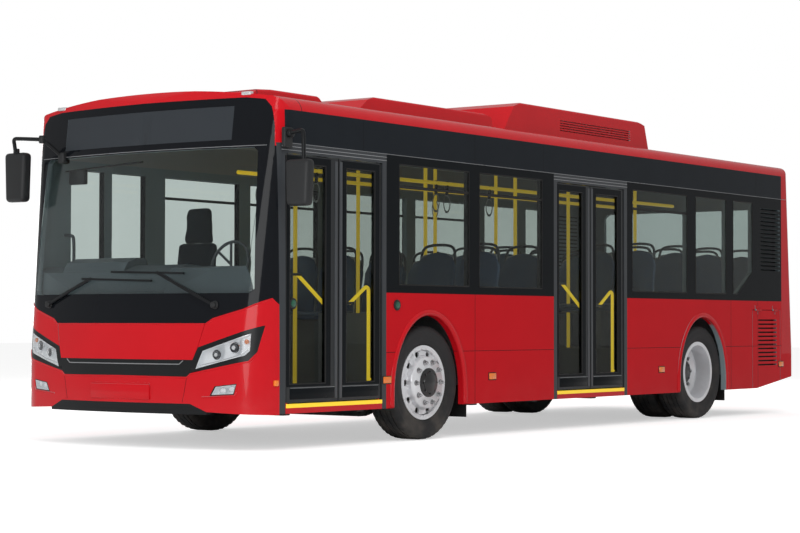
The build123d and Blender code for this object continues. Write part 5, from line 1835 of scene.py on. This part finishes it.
# ------------------------------------------------------------------ side, roof and rear
@dataclass
class FrontBeads:
    """Rolled edges of the red front panels, raised a little so that they catch the light."""

    radius: float = 0.006
    sunk: float = 0.0025
    steps: int = 7
    hood: tuple[Pair, ...] = ((-0.757, 0.924), (0.757, 0.924))
    corner: tuple[Pair, ...] = ((0.769, 0.925), (0.825, 0.961), (1.064, 1.028), (1.224, 1.103))
    ledge: tuple[Pair, ...] = ((0.0, 0.534), (0.630, 0.530), (0.664, 0.556), (1.122, 0.649))
    lamp_rise: tuple[Pair, ...] = ((1.122, 0.649), (1.175, 0.717))
    fog_sill: tuple[Pair, ...] = (
        (0.760, 0.388), (0.815, 0.391), (1.026, 0.402), (1.048, 0.430), (1.062, 0.490),
    )
    plate: tuple[Pair, ...] = (
        (-0.30, 0.375), (-0.30, 0.478), (-0.285, 0.486), (0.285, 0.486), (0.30, 0.478), (0.30, 0.375),
    )
    seam: tuple[Pair, ...] = ((0.632, 0.532), (0.612, 0.430), (0.594, 0.350))
    panels: tuple[str, ...] = ("front_panels", "bumper", "corner_posts")

    def build(self, bench: Bench) -> None:
        """Build the rolled edges and the fine seams beside them.

        Args:
            bench: The modelling steps.
        """
        lines = [(self.hood, 1)]
        for side in Side:
            for line in (self.corner, self.ledge, self.lamp_rise, self.fog_sill):
                lines.append((line, side.value))
        beads = [
            bench.tube(laid_line(line, self.panels, -self.sunk, self.steps, sign), self.radius, 3, 2)
            for line, sign in lines
        ]
        for piece in beads:
            bench.paint(piece, Paint.RED)
        bench.deliver(bench.join(beads), "front_rolled_edges")
        edge = laid_line(self.plate, self.panels, -0.0015, self.steps)
        fine = [bench.paint(bench.tube(edge, 0.0025, 2, 2), Paint.RED)]
        for side in Side:
            line = laid_line(self.seam, self.panels, -0.0002, self.steps, side.value)
            fine.append(bench.paint(bench.tube(line, 0.0016, 1, 2), Paint.SEAM))
        bench.deliver(bench.join(fine), "bumper_seams")


@dataclass
class SideTrim:
    """Side markers, louvre backings, window seals and the wheel arches' lips."""

    markers: tuple[Pair, ...] = ((-0.573, 0.491), (0.901, 0.491), (3.805, 0.498), (6.386, 0.512))
    corner_marker: Point = (1.252, FRONT_AXLE - 1.888, 0.494)
    corner_half: float = 0.022
    marker: Pair = (0.052, 0.026)
    upper_louvre: tuple[Pair, Pair] = ((TAIL - 0.79, TAIL - 0.33), (1.45, 2.17))
    lower_louvre: tuple[Pair, Pair] = ((TAIL - 0.855, TAIL - 0.41), (0.47, 1.01))
    bar_height: float = 2.005
    arch: tuple[float, float, float] = (0.503, 0.620, 0.400)
    lip_radius: float = 0.026
    lip_sunk: float = 0.010
    headers: tuple[Pair, ...] = ((-4.105, -2.828), (-0.372, 0.908))

    def build(self, bench: Bench) -> None:
        """Build the trim of both sides.

        Args:
            bench: The modelling steps.
        """
        self._markers(bench)
        self._backings(bench)
        self._seals(bench)
        self._lips(bench)
        self._lines(bench)

    def _markers(self, bench: Bench) -> None:
        """Stand an orange lamp in a black bezel at each place.

        Args:
            bench: The modelling steps.
        """
        made = []
        for side in Side:
            for y, z in self.markers:
                low_y, high_y = FRONT_AXLE + y - self.marker[0], FRONT_AXLE + y + self.marker[0]
                if side is Side.RIGHT and y < 0:
                    continue
                face = side.value * HALF
                for out, grow, edge, cuts, finish in (
                    (0.008, 0.0, 0.005, 2, Paint.ORANGE), (0.004, 0.006, 0.002, 1, Paint.RUBBER)
                ):
                    xs = sorted((face - side.value * 0.004, face + side.value * out))
                    low = (xs[0], low_y - grow, z - self.marker[1] - grow)
                    high = (xs[1], high_y + grow, z + self.marker[1] + grow)
                    made.append(bench.paint(bench.slab(low, high, edge, cuts), finish))
        bench.deliver(bench.join(made), "side_marker_lamps")
        x, y, z = self.corner_marker
        half = self.corner_half
        pair = []
        for side in Side:
            low = (side.value * x - 0.012, y - half, z - half)
            high = (side.value * x + 0.012, y + half, z + half)
            pair.append(bench.paint(bench.slab(low, high, 0.008), Paint.ORANGE))
        bench.deliver(bench.join(pair), "corner_marker_lamps")

    def _backings(self, bench: Bench) -> None:
        """Close the louvres from inside with a black mesh plate.

        Args:
            bench: The modelling steps.
        """
        for name, body, sign, (ys, zs), depth in (
            ("upper_louvre_backing_left", BODY, 1, self.upper_louvre, 0.05),
            ("upper_louvre_backing_right", BODY, -1, self.upper_louvre, 0.05),
            ("lower_louvre_backing", "side_hatch", 1, self.lower_louvre, 0.036),
        ):
            xs = sorted((sign * (HALF - depth - 0.004), sign * (HALF - depth)))
            plate = bench.slab((xs[0], ys[0], zs[0]), (xs[1], ys[1], zs[1]), 0.001, 1)
            bench.deliver(bench.paint(plate, Paint.SEAM), name, body)

    def _seals(self, bench: Bench) -> None:
        """Run a rubber seal round each window and a bar across the sliding ones.

        Args:
            bench: The modelling steps.
        """
        runs = []
        for places in islands(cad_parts["side_windows"]):
            low, high = box_of(places)
            face = HALF - 0.0015 if low.x > 0 else -HALF + 0.0015
            ring = [(face, y, z) for y, z in rim_of([(y, z) for _, y, z in places])]
            for a, b in zip(ring, ring[1:] + ring[:1]):
                runs.append(bench.tube([a, b], 0.0055, 1, 2))
            if high.y - low.y > 0.8:
                bar = bench.slab((min(face, face * 0.992), low.y, self.bar_height - 0.012),
                                 (max(face, face * 0.992), high.y, self.bar_height + 0.012), 0.003, 1)
                runs.append(bar)
        for piece in runs:
            bench.paint(piece, Paint.RUBBER)
        bench.deliver(bench.join(runs), "window_seals")

    def _lips(self, bench: Bench) -> None:
        """Run a rolled red lip round each wheel arch.

        Args:
            bench: The modelling steps.
        """
        wide, tall, centre = self.arch
        lips = []
        for side in Side:
            face = side.value * (HALF - self.lip_sunk)
            for axle in (FRONT_AXLE, REAR_AXLE):
                line = [(face, axle - wide, SKIRT + 0.012), (face, axle - wide, centre)]
                for step in range(1, 24):
                    turn = math.pi * step / 24
                    line.append((face, axle - wide * math.cos(turn), centre + tall * math.sin(turn)))
                line += [(face, axle + wide, centre), (face, axle + wide, SKIRT + 0.012)]
                lips.append(bench.paint(bench.tube(line, self.lip_radius, 4), Paint.RED))
        bench.deliver(bench.join(lips), "arch_lips")

    def _lines(self, bench: Bench) -> None:
        """Lay the fine light grey lines below the cant rails and over the doors, painted highlights along
        the joints.

        Args:
            bench: The modelling steps.
        """
        lines = []
        for side in Side:
            face = side.value * (HALF + 0.0004)
            ends = ((face, NOSE + 0.42, BAND_TOP), (face, TAIL - 0.18, BAND_TOP))
            lines.append(bench.tube(list(ends), 0.0022, 1, 2))
        for start, end in self.headers:
            for z in (BAND_TOP - 0.026, BAND_TOP - 0.052):
                lines.append(
                    bench.tube([(HALF + 0.0004, start, z), (HALF + 0.0004, end, z)], 0.003, 1, 2)
                )
        for piece in lines:
            bench.paint(piece, Paint.TRIM)
        bench.deliver(bench.join(lines), "side_joint_lines")


@dataclass
class RearEnd:
    """Rear lamp lenses and rims, the lid's grip and the blank plate in its holder."""

    plate: tuple[Pair, Pair] = ((-0.26, 0.26), (0.70, 0.82))
    lowest_lamp: float = 0.70
    lamp_pitch: float = 0.18
    lens: tuple[Pair, ...] = (
        (0.066, -0.004), (0.066, 0.006), (0.056, 0.012), (0.03, 0.016), (0.001, 0.017),
    )
    ring: Pair = (0.068, 0.006)
    grip_height: float = 0.90

    def build(self, bench: Bench) -> None:
        """Dress the rear.

        Args:
            bench: The modelling steps.
        """
        rims, lenses = [], []
        colours = (Paint.RED_LENS, Paint.WHITE, Paint.ORANGE)
        for places in islands(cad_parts["rear_lamps"]):
            low, high = box_of(places)
            order = min(2, int((low.z - self.lowest_lamp) / self.lamp_pitch))
            x, z = (low.x + high.x) / 2, (low.z + high.z) / 2
            middle = Vector((x, surface_y(x, z, ("rear_lamps",), from_rear=True) or high.y, z))
            back = turned_by(-90)
            lens = bench.place(bench.turned(self.lens, 36), back, middle)
            lenses.append(bench.paint(lens, colours[order]))
            ring = bench.hoop(*self.ring, 36, 8)
            rims.append(
                bench.paint(bench.place(ring, back, middle + Vector((0, 0.003, 0))), Paint.CHROME)
            )
        bench.deliver(bench.join(lenses), "rear_lamp_lenses")
        bench.deliver(bench.join(rims), "rear_lamp_rims")
        self._lid(bench)

    def _lid(self, bench: Bench) -> None:
        """Add the grip and the blank plate to the engine lid.

        Args:
            bench: The modelling steps.
        """
        (x0, x1), (z0, z1) = self.plate
        y = surface_y(0, (z0 + z1) / 2, ("engine_lid",), from_rear=True)
        if y is None:
            return
        holder = bench.slab(
            (x0 - 0.01, y - 0.012, z0 - 0.01), (x1 + 0.01, y + 0.006, z1 + 0.01), 0.003, 2,
        )
        plate = bench.slab((x0, y - 0.004, z0), (x1, y + 0.0085, z1), 0.002, 2)
        bench.paint(holder, Paint.PLASTIC)
        bench.paint(plate, Paint.PLATE)
        bench.deliver(bench.join([holder, plate]), "plate_holder", "engine_cover")
        z = self.grip_height
        y = surface_y(0, z, ("engine_lid",), from_rear=True) or y
        line = [
            (-0.09, y - 0.004, z), (-0.085, y + 0.03, z), (0.085, y + 0.03, z), (0.09, y - 0.004, z),
        ]
        grip = bench.tube(line, 0.008, 3, 2)
        bench.deliver(bench.paint(grip, Paint.SATIN_BLACK), "lid_grip", "engine_cover")


# ------------------------------------------------------------------ inside
@dataclass
class PassengerSeats:
    """Moulded places with grey edges and tubular grab handles, in pairs on a pedestal."""

    rows: tuple[tuple[float, float, float, tuple[int, ...]], ...] = (
        (1.080, 0.34, 0.61, (-1,)), (1.760, 0.34, 0.61, (-1,)), (2.440, 0.34, 0.61, (-1,)),
        (1.060, 0.34, 0.61, (1,)), (1.720, 0.34, 0.61, (1,)), (3.760, 0.70, 0.70, (1, -1)),
        (4.500, 1.012, 0.70, (1, -1)), (5.170, 1.012, 0.70, (1, -1)), (5.940, 0.70, 0.70, (1, -1)),
    )
    inside: float = 0.33
    place_width: float = 0.43
    gap: float = 0.02
    rise: float = 0.43
    depth: float = 0.40
    cushion: float = 0.06
    back_height: float = 0.51
    lean: float = 0.08
    bead_steps: int = 24
    grip: tuple[Point, ...] = (
        (0.178, -0.012, -0.17), (0.182, 0.004, -0.06), (0.165, 0.016, 0.035), (0.09, 0.020, 0.062),
    )

    def _back(self, bench: Bench) -> bpy.types.Object:
        """Make one moulded back, dished across and rounded at its shoulders.

        Args:
            bench: The modelling steps.

        Returns:
            The painted back.
        """
        half = self.place_width / 2
        back = bench.slab((-half, 0, -self.cushion), (half, 0.04, self.back_height), 0.012, 2)
        bench.edit_all(back)
        bpy.ops.mesh.subdivide(number_cuts=3)
        bpy.ops.object.mode_set(mode="OBJECT")
        for corner in back.data.vertices:
            x, y, z = corner.co
            share = (z + self.cushion) / (self.back_height + self.cushion)
            across = x / half
            shoulder = max(0.0, share - 0.72) / 0.28
            x *= 1 - 0.24 * shoulder * shoulder - 0.05 * math.sin(math.pi * share)
            z -= 0.05 * shoulder * across * across
            y += -0.028 * across * across * (0.4 + 0.6 * math.sin(math.pi * min(1.0, share * 1.1)))
            corner.co = (x, y + self.lean * share - 0.005, z)
        return bench.paint(back, Paint.SEAT)

    def _rim(self, bench: Bench) -> bpy.types.Object:
        """Make the grey bead that edges a back.

        Args:
            bench: The modelling steps.

        Returns:
            The painted bead.
        """
        half = self.place_width / 2 - 0.004
        line = []
        last, climb, top = self.bead_steps, 5, half * 0.78
        for step in range(last + 1):
            wide = half * math.cos(math.pi * step / last)
            share = 1.0 if climb < step < last - climb else min(step, last - step) / climb
            if share >= 1:
                x = max(-top, min(top, wide))
            else:
                x = math.copysign(half * (1 - 0.2 * share), wide)
            height = share if share < 1 else 1 - 0.06 * (x / half) ** 2
            z = -0.03 + (self.back_height + 0.012) * height
            lean = self.lean * (z + self.cushion) / (self.back_height + self.cushion)
            line.append((x, 0.017 + lean - 0.02 * (x / half) ** 2, z))
        return bench.paint(bench.tube(line, 0.009, 2), Paint.SEAT_EDGE)

    def _cushion(self, bench: Bench) -> bpy.types.Object:
        """Make one moulded seat, hollowed in its middle with a turned-down front.

        Args:
            bench: The modelling steps.

        Returns:
            The painted seat.
        """
        half = self.place_width / 2
        seat = bench.slab((-half, -self.depth, -self.cushion), (half, 0, 0), 0.018, 3)
        bench.edit_all(seat)
        bpy.ops.mesh.subdivide(number_cuts=2)
        bpy.ops.object.mode_set(mode="OBJECT")
        for corner in seat.data.vertices:
            x, y, z = corner.co
            along = -y / self.depth
            hollow = (1 - (x / half) ** 2) * math.sin(math.pi * min(1.0, along))
            z -= 0.014 * hollow
            z -= 0.02 * max(0.0, along - 0.8) / 0.2
            corner.co = (x * (1 - 0.05 * along), y, z)
        return bench.paint(seat, Paint.SEAT)

    def _grip(self, bench: Bench) -> bpy.types.Object:
        """Make the grab handle over a back.

        Args:
            bench: The modelling steps.

        Returns:
            The painted handle.
        """
        half = [(x, self.lean + y, self.back_height + z) for x, y, z in self.grip]
        line = [(-x, y, z) for x, y, z in half] + half[::-1]
        return bench.paint(bench.tube(line, 0.0125, 3), Paint.GRIP)

    def _pedestal(
        self, bench: Bench, centre: float, y: float, foot: float, top: float
    ) -> list[bpy.types.Object]:
        """Make the box, plate and cross bar that carry one pair.

        Args:
            bench: The modelling steps.
            centre: The pair's middle across the bus.
            y: Place along the bus.
            foot: The height it stands on.
            top: The height of the seats.

        Returns:
            The painted pieces.
        """
        low = (centre - 0.055, y - self.depth + 0.07, foot)
        post = bench.slab(low, (centre + 0.055, y - 0.07, top - self.cushion), 0.012, 3)
        corner = (centre + 0.10, y - 0.05, foot + 0.012)
        plate = bench.slab((centre - 0.10, low[1] - 0.02, foot), corner, 0.003, 1)
        reach = self.place_width
        bar = bench.slab((centre - reach, y - 0.25, top - self.cushion - 0.03),
                         (centre + reach, y - 0.19, top - self.cushion + 0.004), 0.006, 1)
        return [bench.paint(piece, Paint.LINING) for piece in (post, plate, bar)]

    def build(self, bench: Bench) -> None:
        """Build every row and stand them in for the CAD seats.

        Args:
            bench: The modelling steps.
        """
        model = bench.join(
            [self._back(bench), self._rim(bench), self._cushion(bench), self._grip(bench)]
        )
        made = []
        for from_axle, foot, base, sides in self.rows:
            y, top = FRONT_AXLE + from_axle, base + self.rise
            for sign in sides:
                pair = 2 * self.place_width + self.gap
                centre = sign * (self.inside + pair / 2)
                for half in (-1, 1):
                    shift = half * (self.place_width + self.gap) / 2
                    spot = (centre + shift, y, top)
                    made.append(bench.place(bench.twin(model), Matrix.Identity(3), spot))
                made += self._pedestal(bench, centre, y, foot, top)
        bpy.data.objects.remove(model)
        bench.deliver(bench.join(made), "moulded_seats", replaces=("passenger_seats",), angle=40)


@dataclass
class DriverSeat:
    """The driver's stuffed seat: cushion, back, head rest, piping and suspension bellows."""

    x: float = -0.55
    y: float = FRONT_AXLE - 0.93
    swell: float = 0.012
    voxel: float = 0.016
    pressure: float = 4.0
    blow_steps: int = 14
    base: tuple[tuple[Point, Point], ...] = (
        ((-0.30, -0.33, 0.34), (0.30, 0.15, 0.52)), ((-0.13, -0.21, 0.52), (0.13, 0.08, 0.58)),
        ((-0.22, -0.26, 0.725), (0.22, 0.13, 0.775)),
    )
    fold: tuple[Point, Point] = ((-0.125, -0.205, 0.578), (0.125, 0.075, 0.613))
    fold_pitch: float = 0.037
    fold_count: int = 4
    pads: tuple[tuple[str, Point, Point, float, float], ...] = (
        ("driver_cushion", (-0.235, -0.28, 0.765), (0.235, 0.14, 0.858), 0.04, 0),
        ("driver_back", (-0.235, 0.075, 0.83), (0.235, 0.155, 1.600), 0.12, 0.078),
        ("driver_head_rest", (-0.155, 0.165, 1.574), (0.155, 0.235, 1.885), 0.22, 0.012),
    )
    channels: tuple[float, ...] = (1.05, 1.22, 1.39)

    def _at(self, place: Point, rise: float = 0.0) -> Point:
        """Return a place given from the seat's own middle, raised by a height."""
        return (self.x + place[0], self.y + place[1], place[2] + rise)

    def _pad(self, bench: Bench, low: Point, high: Point, taper: float, lean: float, name: str) -> None:
        """Make one crowned pad, blown up with cloth.

        Args:
            bench: The modelling steps.
            low: Its lowest corner before it swells.
            high: Its highest corner before it swells.
            taper: How much narrower its top is, as a share.
            lean: How far its top stands back.
            name: The piece's name.
        """
        pad = bench.slab(low, high, 0.035, 4)
        middle = (Vector(low) + Vector(high)) / 2
        size = Vector(high) - Vector(low)
        upright = size.z > size.y
        bench.edit_all(pad)
        bpy.ops.mesh.subdivide(number_cuts=5)
        bpy.ops.object.mode_set(mode="OBJECT")
        for corner in pad.data.vertices:
            x, y, z = corner.co - middle
            across = 2 * x / size.x
            along = 2 * (z if upright else y) / (size.z if upright else size.y)
            crown = (1 - across * across) * (1 - along * along)
            if upright:
                rise = (z / size.z) + 0.5
                x *= 1 - taper * rise * rise
                y += (0.012 * crown - 0.020 * across ** 4) * (-1 if y < 0 else 0.5) + lean * rise
            else:
                x *= 1 - taper * (0.5 - y / size.y)
                z += (0.016 * crown + 0.014 * across ** 4) if z > 0 else 0
            corner.co = middle + Vector((x, y, z))
        bench.tidy(pad, 1e-4)
        bench.apply(pad, "REMESH", mode="VOXEL", voxel_size=self.voxel)
        self._blow(bench, pad)
        bench.apply(pad, "SUBSURF", levels=1, render_levels=1)
        bench.paint(pad, Paint.CLOTH)
        bench.deliver(pad, name, angle=60)

    def _blow(self, bench: Bench, pad: bpy.types.Object) -> None:
        """Blow a pad up with cloth and hold each point within the swell.

        Args:
            bench: The modelling steps.
            pad: The pad.
        """
        before = [corner.co.copy() for corner in pad.data.vertices]
        bench.take(pad)
        cloth = pad.modifiers.new("cloth", "CLOTH")
        cloth.settings.use_pressure = True
        cloth.settings.uniform_pressure_force = self.pressure
        cloth.settings.effector_weights.gravity = 0.0
        cloth.settings.quality = 5
        cloth.point_cache.frame_end = self.blow_steps
        for step in range(1, self.blow_steps + 1):
            bpy.context.scene.frame_set(step)
        bpy.ops.object.modifier_apply(modifier=cloth.name)
        bpy.context.scene.frame_set(1)
        for corner, start in zip(pad.data.vertices, before):
            move = corner.co - start
            if move.length > self.swell:
                corner.co = start + move.normalized() * self.swell

    def build(self, bench: Bench) -> None:
        """Build the seat and stand it in for the CAD one.

        Args:
            bench: The modelling steps.
        """
        x, y = self.x, self.y
        rigid = []
        for low, high in self.base:
            block = bench.slab(self._at(low), self._at(high), 0.012)
            rigid.append(bench.paint(block, Paint.PLASTIC))
        for step in range(self.fold_count):
            low, high = (self._at(corner, self.fold_pitch * step) for corner in self.fold)
            rigid.append(bench.paint(bench.slab(low, high, 0.016, 3), Paint.RUBBER))
        for shift in (-0.045, 0.045):
            post = bench.tube([(x + shift, y + 0.185, 1.48), (x + shift, y + 0.20, 1.66)], 0.007, 2, 2)
            rigid.append(bench.paint(post, Paint.STEEL))
        bench.deliver(bench.join(rigid), "driver_seat_base", replaces=("driver_seat",))
        for name, low, high, taper, lean in self.pads:
            self._pad(bench, self._at(low), self._at(high), taper, lean, name)
        piping = []
        for height in self.channels:
            rise = (height - 0.83) / 0.725
            line = [(x + 0.20 * part, y + 0.062 + 0.075 * rise + 0.012 * part * part, height)
                    for part in (-0.8, -0.4, 0.0, 0.4, 0.8)]
            piping.append(bench.paint(bench.tube(line, 0.0035, 1), Paint.RUBBER))
        bench.deliver(bench.join(piping), "driver_seat_piping")


@dataclass
class Cabin:
    """Straps on the overhead rails, the sun blind, dark grab rails and dashboard details."""

    rail_x: float = 0.305
    rail_z: float = 2.18
    strap_y: tuple[float, ...] = (-0.25, 1.45, 1.62, 2.30)
    blind: tuple[Pair, Pair, Pair] = ((-1.0, -0.83), (-4.02, -3.97), (2.03, 2.15))
    round_rail: Point = (0.80, -4.125, 1.365)
    pillar_handle: Point = (-0.955, -4.0, 1.43)
    handle: tuple[Pair, ...] = ((-0.10, 0.20), (-0.02, 0.20), (0.0, 0.17), (0.0, 0.0))
    dials_x: tuple[float, ...] = (-0.72, -0.60, -0.50, -0.38)
    dial: tuple[Pair, ...] = ((0.05, 0), (0.05, 0.008), (0.044, 0.008), (0.042, 0.003))
    dials_at: Pair = (FRONT_AXLE - 1.72 + 0.12, 1.215)
    vents_x: tuple[float, ...] = (-1.02, -0.95, 0.0, 0.08)
    vents_at: Pair = (FRONT_AXLE - 1.80, 1.163)

    def build(self, bench: Bench) -> None:
        """Build what hangs and stands in the cabin.

        Args:
            bench: The modelling steps.
        """
        straps = []
        for sign in (-1, 1):
            for from_axle in self.strap_y:
                straps += self._strap(bench, sign * self.rail_x, FRONT_AXLE + from_axle)
        bench.deliver(bench.join(straps), "hand_straps")
        self._blind(bench)
        self._rails(bench)
        self._dash(bench)

    def _strap(self, bench: Bench, x: float, y: float) -> list[bpy.types.Object]:
        """Make one hanging strap with its handle.

        Args:
            bench: The modelling steps.
            x: Place across the bus.
            y: Place along the bus.

        Returns:
            The painted band and handle.
        """
        low, high = (x - 0.010, y - 0.014, self.rail_z - 0.10), (
            x + 0.010, y + 0.014, self.rail_z + 0.021,
        )
        band = bench.slab(low, high, 0.003, 1)
        grip = bench.hoop(0.034, 0.0045, 24, 6)
        bench.place(grip, Matrix.Diagonal((1.0, 2.3, 1.0)), (0, 0, 0))
        turn = turned_by(90)
        bench.place(grip, turn, (x, y, self.rail_z - 0.175))
        return [bench.paint(band, Paint.SATIN_BLACK), bench.paint(grip, Paint.SEAT_EDGE)]

    def _blind(self, bench: Bench) -> None:
        """Hang the blind's case behind the top of the windscreen, with its rod.

        Args:
            bench: The modelling steps.
        """
        (x0, x1), (y0, y1), (z0, z1) = self.blind
        case = bench.slab((x0, y0, z0), (x1, y1, z1), 0.012, 3)
        ends = [(x0 - 0.05, y0 + 0.02, z1 - 0.01), (x1 + 0.62, y0 + 0.02, z1 + 0.03)]
        rod = bench.tube(ends, 0.008, 2, 2)
        bench.paint(case, Paint.SATIN_BLACK)
        bench.paint(rod, Paint.SATIN_BLACK)
        bench.deliver(bench.join([case, rod]), "sun_blind")

    def _rails(self, bench: Bench) -> None:
        """Add the round grab rail by the door and the upright handle on the far pillar.

        Args:
            bench: The modelling steps.
        """
        x, y, z = self.round_rail
        ring = bench.hoop(0.175, 0.012, 48, 10)
        turn = turned_by(75)
        bench.place(ring, turn, (x, y, z))
        stay = bench.tube([(x, y + 0.01, z - 0.175), (x, y + 0.01, z + 0.165)], 0.010, 3, 2)
        side = bench.tube([(x, y + 0.01, z), (x - 0.14, y + 0.02, z + 0.10)], 0.010, 3, 2)
        made = [ring, stay, side]
        x, y, z = self.pillar_handle
        half = [(x + out, y, z + up) for out, up in self.handle]
        lower = [(x + out, y, z - up) for out, up in self.handle[-2::-1]]
        made.append(bench.tube(half + lower, 0.013, 3))
        for piece in made:
            bench.paint(piece, Paint.GRIP)
        bench.deliver(bench.join(made), "dark_grab_rails")

    def _dash(self, bench: Bench) -> None:
        """Add the instruments and the air vents.

        Args:
            bench: The modelling steps.
        """
        made = []
        for x in self.dials_x:
            dial = bench.place(bench.turned(self.dial, 28), turned_by(-62), (x, *self.dials_at))
            made.append(bench.paint(dial, Paint.SATIN_BLACK))
        for x in self.vents_x:
            vent = bench.place(bench.hoop(0.03, 0.006, 20, 8), Matrix.Identity(3), (x, *self.vents_at))
            made.append(bench.paint(vent, Paint.PLASTIC))
        bench.deliver(bench.join(made), "dash_details")


def main() -> None:
    """Build the studio and dress the bus, one sub-assembly at a time."""
    logging.basicConfig(level=logging.INFO, format="%(message)s")
    shop = Paintshop()
    shop.coat_frame(FINISH_OF)
    bench = Bench(shop)
    Studio().build()
    FrontLamps().build(bench)
    FrontTrim().build(bench)
    Mirrors().build(bench)
    Wheels().build(bench)
    Doors().build(bench)
    FrontBeads().build(bench)
    SideTrim().build(bench)
    RearEnd().build(bench)
    PassengerSeats().build(bench)
    DriverSeat().build(bench)
    Cabin().build(bench)


if __name__ == "__main__":
    main()
